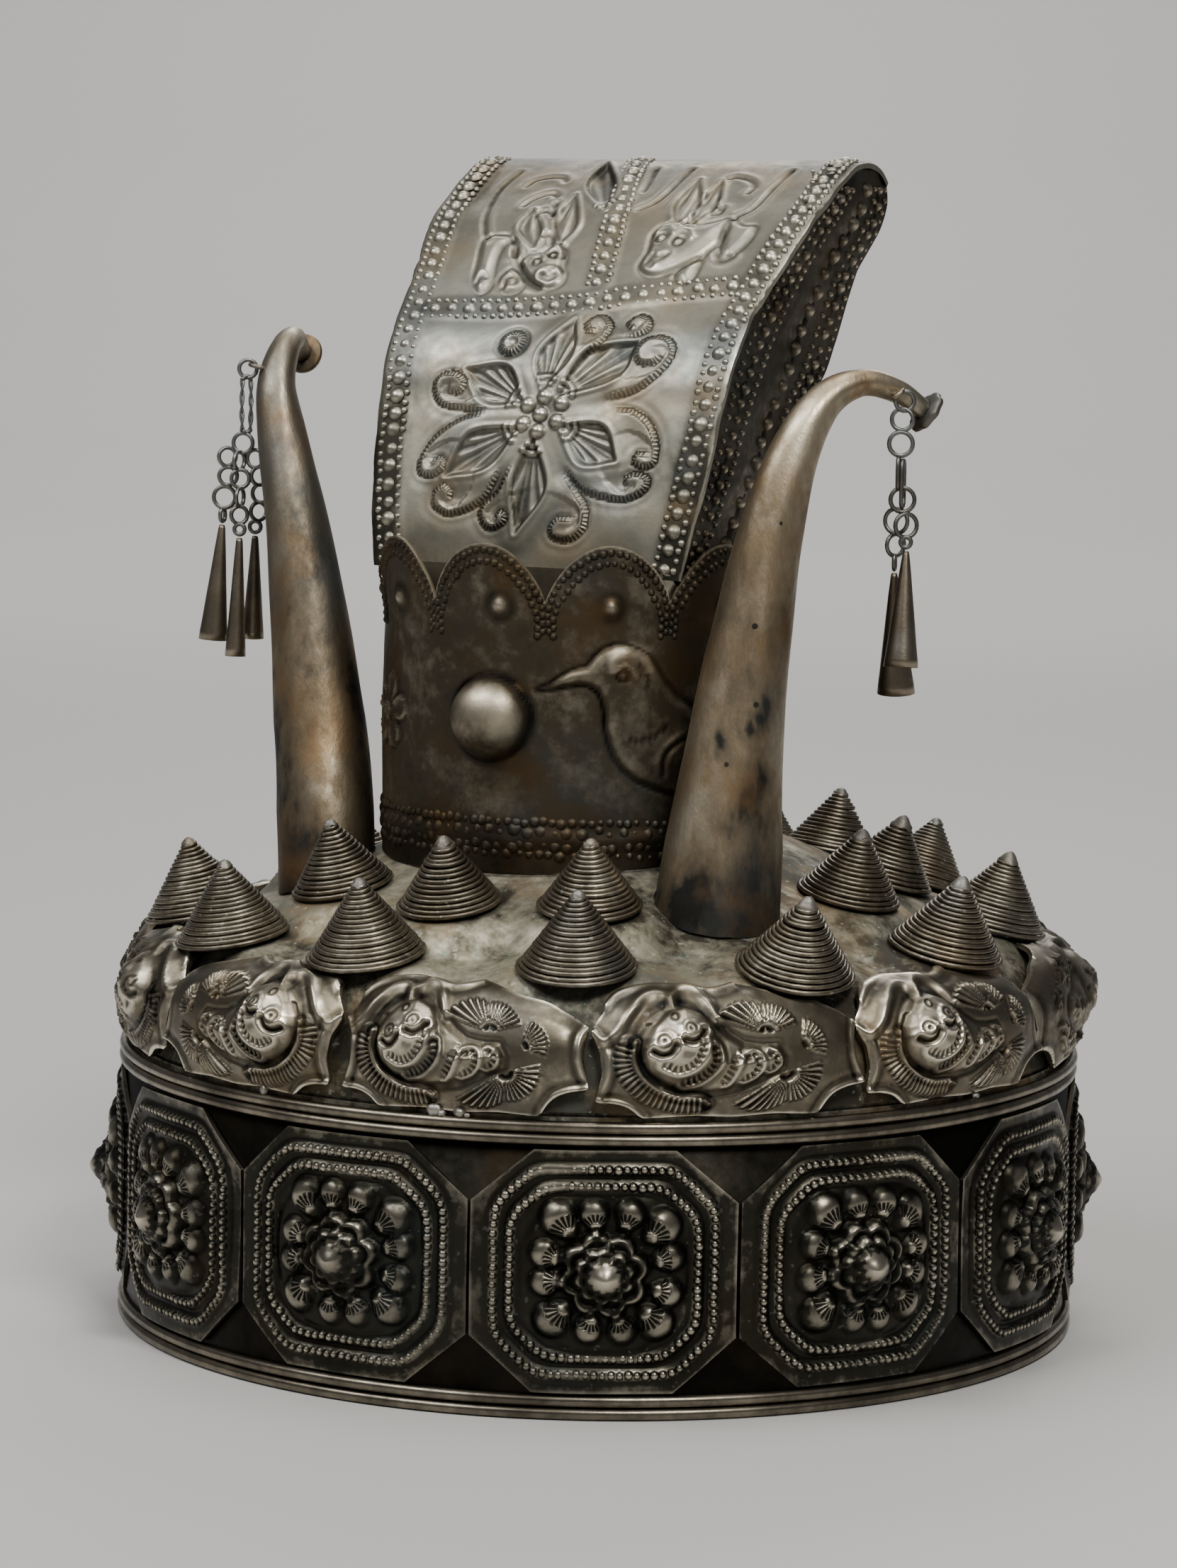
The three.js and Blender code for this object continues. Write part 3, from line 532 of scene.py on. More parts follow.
def beads(parts, spots, place, radius, lift=0.85, sides=8, wear=0.85, base=0.0):
    """Little domes punched up from the sheet at places of its chart; radius may differ from bead to bead."""
    spots = np.asarray(spots, float)
    radius = np.broadcast_to(radius, (len(spots),))
    angle = np.linspace(0, 2 * np.pi, sides, endpoint=False)
    count = len(spots)
    rings = [(1.28, -0.06, 0.24), (0.92, 0.45, 0.24 + 0.5 * (wear - 0.24)), (0.52, 0.84, wear)]
    layers, wears = [], []
    for across, up, shade in rings:  # part of the radius, part of the height and shade
        u = spots[:, 0, None] + radius[:, None] * across * np.cos(angle)
        v = spots[:, 1, None] + radius[:, None] * across * np.sin(angle)
        rise = np.repeat(radius * up * lift + base, sides)
        layers.append(place(u.ravel(), v.ravel(), rise).reshape(count, sides, 3))
        wears.append(np.full((count, sides), shade))
    top = place(spots[:, 0], spots[:, 1], radius * lift + base).reshape(count, 1, 3)
    points = np.concatenate(layers + [top], axis=1)
    shade = np.concatenate(wears + [np.full((count, 1), min(1.0, wear + 0.1))], axis=1)
    per = 3 * sides + 1
    j = np.arange(sides)
    k = (j + 1) % sides
    ring_quads = grid_quads(3, sides, wrap=True)
    cap_tris = np.stack([2 * sides + j, 2 * sides + k, np.full(sides, 3 * sides)], -1)
    offset = (np.arange(count) * per)[:, None, None]
    parts.add(points.reshape(-1, 3), (ring_quads + offset).reshape(-1, 4),
              (cap_tris + offset).reshape(-1, 3), wear=shade.ravel())


# ---------------------------------------------------------------- octagon plaques

def octagon_outline(half_u, half_v, cut_u, cut_v):
    return np.array([
        (-half_u + cut_u, -half_v), (half_u - cut_u, -half_v), (half_u, -half_v + cut_v),
        (half_u, half_v - cut_v), (half_u - cut_u, half_v), (-half_u + cut_u, half_v),
        (-half_u, half_v - cut_v), (-half_u, -half_v + cut_v),
    ])


def rounded(outline, pitch=1.5, passes=6):
    line = evenly(outline, pitch, closed=True)
    for _ in range(passes):
        line = 0.25 * np.roll(line, 1, axis=0) + 0.5 * line + 0.25 * np.roll(line, -1, axis=0)
    return line


OCTAGON_LOBES = [  # direction in degrees, distance from the middle, radius
    (12, 14.0, 3.3), (38, 15.6, 4.1), (68, 13.2, 3.3), (98, 12.8, 3.3), (127, 14.9, 4.2),
    (161, 12.6, 3.4), (190, 12.5, 3.4), (221, 14.4, 4.1), (256, 12.2, 3.2), (287, 12.4, 3.2),
    (317, 15.0, 4.0), (345, 13.9, 3.3),
]


def outer_row():
    return rounded(octagon_outline(23.2, 21.8, 8.6, 8.2), passes=4)


def inner_row():
    return rounded(octagon_outline(19.7, 18.2, 7.4, 6.8), passes=4)


def octagon_relief(u, v, rng):
    r = Relief(u, v)
    radius = np.hypot(u, v)
    angle = np.degrees(np.arctan2(v, u))
    r.height += 0.9 * ease((19.0 - radius) / 3.0) + 0.6 * ease((10.5 - radius) / 2.5)
    r.wear -= 0.08 * ease((20.5 - radius) / 4.0)
    for at, reach, size in OCTAGON_LOBES:
        at += rng.uniform(-2.5, 2.5)
        reach += rng.uniform(-0.3, 0.3)
        cu, cv = reach * math.cos(math.radians(at)), reach * math.sin(math.radians(at))
        du, dv = math.cos(math.radians(at)), math.sin(math.radians(at))
        along = (u - cu) * du + (v - cv) * dv
        across = (v - cv) * du - (u - cu) * dv
        narrow = 1 - 0.30 * np.clip(-along / size, 0, 1)
        gap = np.hypot(along / np.where(along < 0, 1.30, 1.05), across / narrow) / size
        r.height = np.maximum(r.height, r.height * 0.75 + 2.3 * np.sqrt(np.clip(1 - gap**2, 0, 1)))
        r.wear += 0.22 * ease((0.95 - gap) * 2) - 0.22 * hump(gap - 1.05, 0.10)
        base = along + size * 0.95
        fan = np.hypot(base, across)
        swing = np.degrees(np.arctan2(across, base))
        mask = ease((fan - 1.5) / 0.5) * ease((size * 1.12 - fan) / 0.7)
        mask = mask * ease((62 - np.abs(swing)) / 12) * (gap < 1)
        r.chase(mask, np.radians(swing) * 21.0, 1.0, sink=0.30, shade=0.0)
        cup = hump(fan - 1.15, 0.30) * ease((75 - np.abs(swing)) / 15) * (gap < 1.1)
        r.press(cup, 0.35, 0.18)
    for tier, wave, lobes, rise in ((8.9, 0.85, 8, 1.5), (6.1, 0.50, 10, 1.2)):
        turn = rng.uniform(0, 6.28)
        rim = tier + wave * (np.abs(np.cos(np.radians(angle) * lobes / 2 + turn)) * 2 - 1.1)
        inside = rim - radius
        r.height += rise * np.sqrt(ease(inside / 1.6))
        r.height += 0.60 * hump(inside - 1.3, 1.0) - 0.30 * hump(inside + 0.35, 0.4)
        r.wear += 0.22 * hump(inside - 1.0, 0.9) - 0.30 * hump(inside + 0.3, 0.45)
        r.wear -= 0.20 * hump(inside - 2.6, 0.5)
    lean = rng.uniform(-0.35, 0.35, 2)
    r.dome(lean[0], lean[1], 4.1, 2.6, wear=0.30)
    gap = np.hypot(u - lean[0], v - lean[1] + 0.5)
    r.height += 0.9 * np.clip(1 - gap / 2.4, 0, 1) ** 0.9
    r.wear += 0.2 * np.clip(1 - gap / 2.4, 0, 1)
    for row in (outer_row(), inner_row()):
        gap, _, _ = r.away(row)
        r.height += 0.75 * hump(gap, 1.15) - 0.20 * hump(gap - 1.85, 0.5)
        r.wear += 0.14 * hump(gap, 0.9) - 0.12 * hump(gap - 1.7, 0.5)
    for step in range(3):
        swell = rng.uniform(0.10, 0.22)
        r.height += swell * np.sin(u * rng.uniform(0.08, 0.2) + v * rng.uniform(-0.2, 0.2) + step)
    rim = octagon_outline(28.3, 25.8, 13.4, 11.4)
    r.wear += rng.uniform(0.0, 0.16) * ease((0.7 - r.inside(rim)) / 0.7)
    return r


def make_octagons(material):
    half = OCTAGON["half"]
    outline = octagon_outline(half, OCTAGON["tall"], OCTAGON["cut_across"], OCTAGON["cut_up"])
    for k in range(OCTAGON["count"]):
        rng = np.random.default_rng(100 + k)
        azimuth = OCTAGON["first"] + k * 360.0 / OCTAGON["count"]
        seen = k in SEEN_OCTAGONS
        u, v, shape = chart(-half - 0.2, half + 0.2, -26.0, 26.0, 0.5 if seen else 0.8)
        relief = octagon_relief(u, v, rng)
        lifted = 0.25 if k % 2 else 0.0
        tilt = rng.uniform(-0.006, 0.006)
        middle = (OCTAGON["low"] + OCTAGON["high"]) / 2

        def place(pu, pv, ph):
            a = pu / OCTAGON["radius"]
            out = OCTAGON["radius"] + ph + lifted + pu * tilt
            return turn_about_z(about_axis(out, a, middle + pv), azimuth)

        parts = Parts()
        sheet(parts, relief, shape, place, outline, back=0.9)
        for row in (outer_row(), inner_row()):
            spots = evenly(row, 1.8, closed=True)
            spots = spots + rng.normal(0, 0.08, spots.shape)
            sizes = 0.86 * rng.uniform(0.85, 1.12, len(spots))
            beads(parts, spots, place, sizes, lift=0.80, wear=0.69, base=0.56)
        parts.build(f"octagon_plaque_{k + 1:02d}", material, [f"octagon_{k + 1:02d}"])


# ---------------------------------------------------------------- fish plaques

FISH_OUTLINE = [
    (-29.5, 4.0), (-27.4, -0.6), (-27.0, -6.0), (-28.6, -12.0), (-24.6, -12.0), (-21.4, -13.0),
    (-19.0, -15.4), (-8, -14.8), (0, -15.3), (9, -14.8), (18.4, -15.5), (19.6, -12.9), (21.8, -10.8),
    (25.2, -9.5), (29.3, -9.2), (27.8, -3.0), (28.0, 1.5), (29.2, 5.2), (25.5, 7.4), (19.5, 9.8),
    (13.0, 10.9), (8.5, 12.2), (5.0, 13.7), (2.6, 14.5), (0.0, 13.0), (-4.0, 12.7), (-8.0, 13.2),
    (-12.0, 14.4), (-16.0, 14.6), (-20.0, 13.8), (-23.6, 13.0), (-26.2, 11.2), (-26.8, 8.4),
    (-28.4, 6.3),
]
FISH_BODY = [
    (-18.9, -0.2), (-18.8, -2.6), (-17.6, -5.3), (-14.6, -7.9), (-10.8, -9.2), (-5.3, -9.4),
    (0.3, -8.5), (5.2, -6.5), (10.0, -4.4), (10.2, -2.4), (8.9, -0.2), (5.2, -0.2), (1.6, 0.4),
    (-1.4, 2.4), (-3.8, 5.0), (-6.6, 7.4), (-10.4, 8.6), (-13.9, 7.4), (-16.7, 4.6), (-18.3, 2.0),
]
MANE = [
    (-22.2, 0.6), (-23.0, -2.4), (-22.4, -5.3), (-20.6, -7.8), (-17.6, -10.4), (-13.9, -11.8),
    (-10.5, -12.5), (-6.6, -12.3),
]
HEAD_RIM = [
    (-20.3, 1.2), (-20.6, -1.4), (-19.9, -4.1), (-18.1, -6.9), (-14.8, -9.1), (-11.5, -10.3),
    (-7.5, -10.6), (-5.4, -11.8),
]
HORNS_ON_HEAD = [
    [(-25.9, 2.1), (-23.9, 3.9), (-21.8, 7.1), (-18.8, 10.3), (-16.0, 11.3), (-13.9, 10.6), (-12.8, 8.6)],
    [(-12.5, 9.7), (-11.1, 11.4), (-8.7, 11.8), (-6.3, 10.8), (-4.7, 8.5), (-3.5, 5.6)],
]
EYES = [(-14.9, 0.9, 1.45), (-9.6, 3.2, 1.35)]
EYE_ARCS = [
    [(-16.9, -0.9), (-15.4, -1.6), (-13.9, -1.3), (-12.7, 0.2)],
    [(-10.9, 1.1), (-9.2, 0.8), (-7.8, 1.5), (-6.7, 2.9)],
]
SCALE_ARCS = [  # middle line of each crescent and its half width
    ([(-14.6, -3.5), (-12.2, -4.5), (-9.5, -3.6), (-7.8, -1.6), (-7.2, 0.4)], 1.0),
    ([(-10.8, -7.1), (-8.1, -6.3), (-5.7, -4.4), (-4.6, -2.5), (-4.8, -0.6)], 1.05),
    ([(-2.7, -7.0), (-1.5, -5.0), (-0.5, -2.6)], 1.0),
    ([(1.4, -6.6), (3.4, -5.6), (4.4, -3.6), (3.8, -1.9), (2.2, -2.2)], 0.8),
    ([(6.8, -4.6), (8.1, -3.9), (8.3, -2.4), (7.0, -1.5)], 0.8),
]
FANS = [  # centre, first and last angle in degrees, rays, inner radius, reach at the first and last angle
    (6.9, 2.7, 14, 100, 9, 2.2, 7.4, 6.2), (6.9, 2.7, 100, 164, 6, 2.2, 6.2, 11.6),
    (14.2, -0.4, -18, 78, 9, 2.0, 6.1, 6.3), (10.8, -5.6, 14, -92, 10, 2.3, 8.4, 6.8),
    (10.8, -5.6, -92, -150, 7, 2.3, 6.8, 13.6),
]
EDGE_CURLS = [
    [(-28.4, -11.8), (-24.6, -11.6), (-21.2, -12.8), (-18.8, -15.2)],
    [(29.1, -8.9), (25.2, -9.2), (21.6, -10.5), (19.6, -13.0), (18.6, -15.3)],
    [(-29.0, 4.2), (-26.6, 0.4), (-26.0, -5.0), (-27.6, -10.8)],
    [(29.0, 5.4), (27.2, 2.2), (27.0, -2.6), (28.9, -8.4)],
    [(-26.4, 9.6), (-23.0, 12.0), (-16.0, 13.6), (-9.4, 12.7), (-3.0, 11.9), (2.6, 13.4)],
]


def fish_relief(u, v, rng, mirrored):
    if mirrored:
        u = -u
    r = Relief(u, v)
    u = r.u
    within = r.inside(FISH_OUTLINE)
    body = r.inside(FISH_BODY)
    r.height += 0.7 * ease(within / 4.0) + 1.0 * ease((body + 0.3) / 1.6) + 1.9 * ease(body / 7.0)
    r.height -= 0.40 * hump(body + 0.9, 0.6) * (v < 5.0)
    r.wear += 0.10 * ease(body / 1.6) - 0.20 * hump(body + 0.8, 0.6) * (v < 5.0) - 0.02
    r.dome(-12.2, 0.6, 8.0, 1.1, wear=0.08)
    for line in HORNS_ON_HEAD:
        curve = smooth_curve(line, 8)
        gap, _, hand = r.away(curve)
        r.height += 0.85 * hump(gap, 1.15) - 0.15 * hump(gap - 1.9, 0.7) * (hand < 0)
        r.wear += 0.18 * hump(gap, 0.9) - 0.08 * hump(gap - 1.9, 0.8) * (hand < 0)
        r.wear -= 0.05 * hump(gap - 1.9, 0.6) * (hand > 0)
    gap, _, _ = r.away(smooth_curve(HEAD_RIM, 8))
    r.height += 0.95 * hump(gap, 0.6)
    r.wear += 0.34 * hump(gap, 0.55) - 0.24 * hump(gap - 1.3, 0.4)
    mane = smooth_curve(MANE, 8)
    gap, along, _ = r.away(mane)
    r.height += 0.8 * ease((2.5 - gap) / 1.4)
    r.chase(ease((2.1 - gap) / 0.5), along * 2 * np.pi / 1.15, 0.5, sink=0.40, shade=0.30, shine=0.14)
    for cu, cv, size in EYES:
        gap = np.hypot(r.u - cu, r.v - cv)
        r.height += 0.50 * ease((size * 1.9 - gap) / (size * 1.1))
        r.wear += 0.10 * ease((size * 1.9 - gap) / 1.0)
        for ring, cut, wide in ((size * 0.85, 0.34, 0.26), (0.0, 0.30, 0.42)):
            r.press(hump(gap - ring, wide), -cut, -0.60)
    for line in EYE_ARCS:
        arc = smooth_curve(line, 6)
        gap, _, _ = r.away(arc)
        r.height += 0.40 * hump(gap - 1.15, 0.45) - 0.60 * hump(gap, 0.60)
        r.wear += 0.20 * hump(gap - 1.2, 0.45) - 0.60 * hump(gap, 0.55)
    gap = np.hypot(r.u + 12.5, r.v - 5.9)
    r.height += 0.3 * ease((1.4 - gap) / 0.5) - 0.4 * hump(gap - 0.75, 0.25)
    r.wear -= 0.5 * hump(gap - 0.75, 0.25)
    for line, width in SCALE_ARCS:
        curve = smooth_curve(line, 6)
        gap, along, hand = r.away(curve)
        cut = ease((width - gap) / (0.6 * width))
        wave = 0.5 + 0.5 * np.sin(along * 2 * np.pi / 1.15)
        r.height -= cut * (0.62 - 0.42 * wave)
        r.wear -= cut * (0.42 - 0.50 * wave)
        r.press(hump(gap - width * 1.35, 0.50) * (hand < 0), 0.42, 0.20)
        # Past the rim the sheet dips a little, and a painted shadow darkens the dip.
        r.press(hump(gap - width * 2.1, 0.55) * (hand < 0), -0.12, -0.12)
    for cu, cv, first, last, rays, inner, reach_a, reach_b in FANS:
        gap = np.hypot(r.u - cu, r.v - cv)
        angle = np.degrees(np.arctan2(r.v - cv, r.u - cu))
        t = (angle - first) / (last - first)
        turned = (np.where(angle < min(first, last), angle + 360, angle) - first) / (last - first)
        t = np.where((t < 0) | (t > 1), turned, t)
        reach = reach_a + (reach_b - reach_a) * np.clip(t, 0, 1)
        mask = ease((gap - inner) / 0.5) * ease((reach - gap) / 0.9)
        mask = mask * ease(t * 14 + 0.3) * ease((1 - t) * 14 + 0.3) * ((t > -0.02) & (t < 1.02))
        wave = t * rays * 2 * np.pi
        crest = 0.5 + 0.5 * np.cos(wave)
        r.height += mask * (1.15 * crest**0.7 - 0.10)
        r.wear += mask * (0.62 * crest - 0.34)
        span = ease(t * 8 + 0.2) * ease((1 - t) * 8 + 0.2) * ((t > -0.02) & (t < 1.02))
        r.press(hump(gap - inner * 0.55, 0.50) * span, -0.60, -0.45)
        r.press(hump(gap - inner * 0.95, 0.32) * span, 0.50, 0.28)
    r.height += 0.5 * np.exp(-(((r.u - 24.0) / 3.4) ** 2) - ((r.v - 1.4) / 4.6) ** 2)
    r.height += 0.4 * np.exp(-(((r.u + 24.0) / 2.8) ** 2) - ((r.v - 8.4) / 3.0) ** 2)
    for line in EDGE_CURLS:
        gap, _, hand = r.away(smooth_curve(line, 6))
        r.height += 0.85 * hump(gap, 0.85)
        r.wear += 0.22 * hump(gap, 0.7) - 0.22 * hump(gap - 1.7, 0.6)
    r.wear += 0.3 * ease((0.7 - within) / 0.7)
    r.height += rng.uniform(-0.12, 0.12) * np.sin(r.u * 0.35 + 1)
    r.height += rng.uniform(-0.1, 0.1) * np.cos(r.v * 0.4)
    return r


def outward(line):
    """The direction to the right of a flat line at each of its points."""
    run = np.gradient(line, axis=0)
    return unit(np.stack([run[:, 1], -run[:, 0]], -1))


def shoulder_line():
    """The shoulder just outside the cap, under the plaques: length along it, place and outward direction."""
    line = smooth_curve(np.stack([CAP_R, CAP_Z], -1)[1:8], 8)
    out = outward(line)
    line = line + SHOULDER_LIFT * out
    return length_along(line), line, out


PLAQUE_RISE = np.array([  # height on the flat plaque, length up the shoulder, how far the middle bulges
    (-15.6, 0.4, 0.0), (-11.0, 4.6, 0.9), (-7.0, 8.3, 1.8), (0.0, 14.6, 2.7), (5.0, 19.0, 2.9),
    (8.6, 22.4, 2.7), (12.0, 26.8, 1.8), (15.0, 32.0, 0.4),
])


def under_foot(points, foot, tip):
    """Presses the points of a sheet down where a cone stands over them."""
    up = unit(tip - foot)
    rise = (points - foot) @ up
    aside = np.linalg.norm(points - foot - rise[:, None] * up, axis=1)
    press = np.maximum(rise + 0.45, 0) * ease((CONES["outer"][0] + 1.6 - aside) / 1.2) * (rise < 8)
    return points - np.stack([0 * press, 0 * press, press / up[2]], -1)


def make_fish_plaques(material):
    length, line, out = shoulder_line()
    stands = [cone_axis(f"outer_cone_{k + 1:02d}") for k in range(12)]
    for k, (azimuth, width, mirrored) in enumerate(PLAQUES):
        rng = np.random.default_rng(300 + k)
        seen = k in SEEN_PLAQUES
        outline = np.array([(-a if mirrored else a, b) for a, b in FISH_OUTLINE])
        outline = rounded(outline, 0.8, 3)
        u, v, shape = chart(-29.8, 29.8, -15.6, 14.8, 0.30 if seen else 0.8)
        relief = fish_relief(u, v, rng, mirrored)
        relief.u = u
        slope = rng.uniform(-0.012, 0.012)
        over = 0.35 if k % 2 else 0.0

        def place(pu, pv, ph):
            s, bulge = read(pv, PLAQUE_RISE[:, 0], PLAQUE_RISE[:, 1:])
            r0, z0 = read(s, length, line)
            nr, nz = read(s, length, out)
            bulge = bulge * np.clip(1 - (pu / 29.0) ** 4, 0, 1)
            lift = ph + over + bulge + pu * slope
            a = pu * width / 105.5
            radius = r0 + nr * lift
            points = turn_about_z(about_axis(radius, a, np.maximum(z0 + nz * lift, 64.0)), azimuth)
            for foot, tip in stands:
                points = under_foot(points, foot, tip)
            return points

        parts = Parts()
        sheet(parts, relief, shape, place, outline, back=1.1)
        number = f"{k + 1:02d}"
        parts.build(f"fish_plaque_relief_{number}", material, [f"fish_plaque_{number}"])


# ---------------------------------------------------------------- band and cap

BAND_PROFILE = [  # radius and height of the band's wall, round its section
    (107.3, 0.6), (108.0, 0.6), (108.2, 5.0), (108.3, 20.0), (108.3, 58.0), (107.3, 58.2), (107.3, 0.6),
]
CAP_LINING = [  # radius and height of the cap's lower edge and inside
    (106.9, 64.0), (107.0, 63.5), (107.0, 56.2), (106.0, 56.2), (105.9, 63.0), (103.6, 78.4),
    (100.0, 83.9), (94.2, 87.4), (77.4, 92.6), (65.4, 98.7), (53.4, 104.5), (43.6, 108.8),
    (23.8, 113.0), (0.01, 114.6),
]


def make_band(material):
    parts = Parts()
    lathe(parts, BAND_PROFILE, 192, wear=0.22)
    angle = np.linspace(0, 2 * np.pi, 288, endpoint=False)
    for level, z in enumerate(BAND["wires"]):
        sag = 0.25 * np.sin(3 * angle + level) + 0.15 * np.sin(7 * angle + 2 * level)
        radius = BAND["ring"] + 0.12 * np.sin(5 * angle + level)
        height = z + (sag * 0.35 if 1.4 < z < 62.0 else 0 * sag)
        sweep(parts, about_axis(radius, angle, height), BAND["wire"], sides=12, closed=True, wear=0.63)
    parts.build("band_with_rim_wires", material, ["band"])


def dome_height(radius):
    """Height of the cap's dome at a distance from the axis."""
    return np.interp(radius, CAP_R[:0:-1], CAP_Z[:0:-1])


CONE_NAMES = [f"outer_cone_{k + 1:02d}" for k in range(12)] + [f"inner_cone_{k + 1:02d}" for k in range(10)]


def make_cap(material):
    rng = np.random.default_rng(7)
    r = np.concatenate([np.linspace(0, 1, 6)[:-1] * 24, np.linspace(24, 106.9, 60)])
    z = dome_height(r)
    for _ in range(3):
        z[1:-1] = 0.25 * z[:-2] + 0.5 * z[1:-1] + 0.25 * z[2:]
    angle = np.linspace(0, 2 * np.pi, 320, endpoint=False)
    radius, a = np.meshgrid(r, angle, indexing="ij")
    height = np.repeat(z[:, None], len(angle), axis=1)
    x, y = radius * np.sin(a), -radius * np.cos(a)
    dent = np.zeros_like(height)
    for _ in range(90):
        at, reach = rng.uniform(0, 2 * np.pi), rng.uniform(40, 94)
        size, depth = rng.uniform(3.5, 12), rng.uniform(-0.75, 0.25)
        gap = np.hypot(x - reach * math.sin(at), y + reach * math.cos(at)) / size
        dent += depth * hump(gap, 1.0)
    dent *= ease((104 - radius) / 6)
    seat = np.zeros_like(height)
    for name in CONE_NAMES:
        foot, tip = cone_axis(name)
        up = unit(tip - foot)
        under = foot[2] - ((x - foot[0]) * up[0] + (y - foot[1]) * up[1]) / up[2] - 0.3
        aside = np.hypot(x - foot[0], y - foot[1]) - CONES[name[:5]][0]
        rise = np.maximum(under - height - dent, 0) * ease((9.0 - aside) / 9.0)
        seat = np.maximum(seat, rise * ease((101.0 - radius) / 7.0))
    points = np.stack([x, y, height + dent + seat], -1).reshape(-1, 3)
    wear = 0.47 + 0.28 * np.clip(dent, -1, 1).ravel() - 0.30 * ease((radius.ravel() - 100) / 4)
    # The cos term is painted light: the cap is brighter towards the front left and darker towards the back
    # right, as if lit from the left.
    wear = wear - 0.16 * ease((radius.ravel() - 92) / 10) + 0.17 * np.cos(a.ravel() + 0.55) - 0.04
    # Painted shade: the cap is darkened round the foot of every cone.
    for name in CONE_NAMES:
        foot, _ = cone_axis(name)
        gap = np.hypot(x - foot[0], y - foot[1]).ravel() - CONES[name[:5]][0]
        wear = wear - 0.16 * ease((2.6 - gap) / 3.2)
    for rows in HORN_ROWS.values():
        gap = np.hypot(x - rows[0][0], y - rows[0][1]).ravel() - 12.5
        wear = wear - 0.16 * ease((6.0 - gap) / 7.0)
    parts = Parts()
    quads = grid_quads(len(r), len(angle), wrap=True)
    parts.add(points, quads[:, ::-1], wear=np.clip(wear, 0, 1))
    lathe(parts, CAP_LINING, 96, wear=0.35)
    parts.build("domed_cap", material, ["cap"])


# ---------------------------------------------------------------- spiral wire cones

def ends_of(name, slack):
    """The points of a CAD cone's wide end, the middle of its tip and the distance between them."""
    points = np.array([v.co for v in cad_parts[name].data.vertices]) / MM
    tip = points[points[:, 2] > points[:, 2].max() - 0.6].mean(axis=0)
    gap = np.linalg.norm(points - tip, axis=1)
    return points[gap > gap.max() - slack], tip, gap.max()


def cone_axis(name):
    ring, tip, _ = ends_of(name, 0.9)
    return ring.mean(axis=0), tip


def make_cones(material, solder):
    for k, name in enumerate(CONE_NAMES):
        rng = np.random.default_rng(500 + k)
        wide, tall = CONES[name[:5]]
        foot, tip = cone_axis(name)
        up = unit(tip - foot)
        side = unit(np.cross([0.0, 1.0, 0.0], up))
        other = np.cross(up, side)
        turns = rng.integers(18, 20) if wide > 12 else rng.integers(16, 18)
        wire = 0.56
        t = np.linspace(0, 1, int(turns * 26))
        angle = t * turns * 2 * np.pi + rng.uniform(1.6, 2.6)
        radius = (wide - wire) * (1 - t) ** (0.96 + 0.06 * rng.uniform()) + 0.36 + 0.45 * np.exp(-t / 0.035)
        height = wire + (tall - 1.2) * t
        height += 0.10 * np.sin(angle * 0.37 + k) * (1 - t)
        sway = 0.35 * rng.uniform(-1, 1) * t**2
        height += 0.35 * hump(t - rng.uniform(0.6, 0.8), 0.02) * (rng.uniform() < 0.3)
        path = ring_about(foot, radius, angle, side, other) + sway[:, None] * side + height[:, None] * up
        parts = Parts()
        sweep(parts, path, wire, sides=7, wear=0.53)
        # A dark inner cone just inside the wire: painted shade for the hollow inside of the coil.
        inner_angle = np.linspace(0, 2 * np.pi, 20, endpoint=False)
        levels = [(0.0, wide - 1.35), (0.5, 0.5 * wide - 0.7), (1.0, 0.4)]
        rings = [ring_about(foot + (tall - 1.6) * f * up, r, inner_angle, side, other) for f, r in levels]
        parts.add(np.vstack(rings), grid_quads(3, 20, wrap=True)[:, ::-1], wear=0.05)
        parts.build(f"spiral_{name}", material, [name])
        solder_tip(name, solder, k, rng, foot + sway[-1] * side, (side, other, up))


TIP_RINGS = [  # part of the reach, part of the width
    (1.0, 0.90), (0.85, 0.98), (0.6, 0.99), (0.35, 1.0), (0.12, 0.96),
]


def solder_tip(name, material, seed, rng, middle, axes):
    """The lump of solder that closes a cone at its tip and runs a little way down."""
    side, other, up = axes
    wide, tall = CONES[name[:5]]
    count = 16
    angle = np.linspace(0, 2 * np.pi, count, endpoint=False)
    top = tall - 0.2
    reach = rng.uniform(1.4, 2.9)
    rings = []
    for part_way, narrow in TIP_RINGS:
        drop = reach * part_way
        radius = (wide * drop / tall + 0.84) * narrow
        wobble = 1 + 0.05 * np.sin(3 * angle + seed) + rng.normal(0, 0.02, count)
        level = top - drop + rng.normal(0, 0.30, count) * (part_way > 0.8)
        rings.append(ring_about(middle, radius * wobble, angle, side, other) + level[:, None] * up)
    rings.append(ring_about(middle + (top + 0.1) * up, 0.25, angle, side, other))
    parts = Parts()
    parts.add(np.vstack(rings), grid_quads(len(rings), count, wrap=True), wear=0.38)
    parts.build(f"solder_tip_{name}", material)


# ---------------------------------------------------------------- collar

def scallop(azimuth):
    """Height of the collar's rim at an azimuth in radians about the crown."""
    half = math.pi / COLLAR["scallops"]
    across = np.mod(azimuth + half, 2 * half) / half - 1
    return COLLAR["valley"] + (COLLAR["apex"] - COLLAR["valley"]) * np.clip(1 - across**2, 0, 1) ** 0.75


def cap_height(x, y):
    world = to_crown(np.stack([x, y, 0 * x], -1))
    return dome_height(np.hypot(world[:, 0], world[:, 1]))


COLLAR_FOOT = 104.0


def collar_radius(z, azimuth):
    spread = np.clip((z - COLLAR["flare"]) / (175.0 - COLLAR["flare"]), 0, 1)
    flare = (COLLAR["rim"] - COLLAR["radius"]) * spread
    return COLLAR["radius"] - 0.15 + flare + 0.18 * np.sin(azimuth * 7 + z * 0.11)


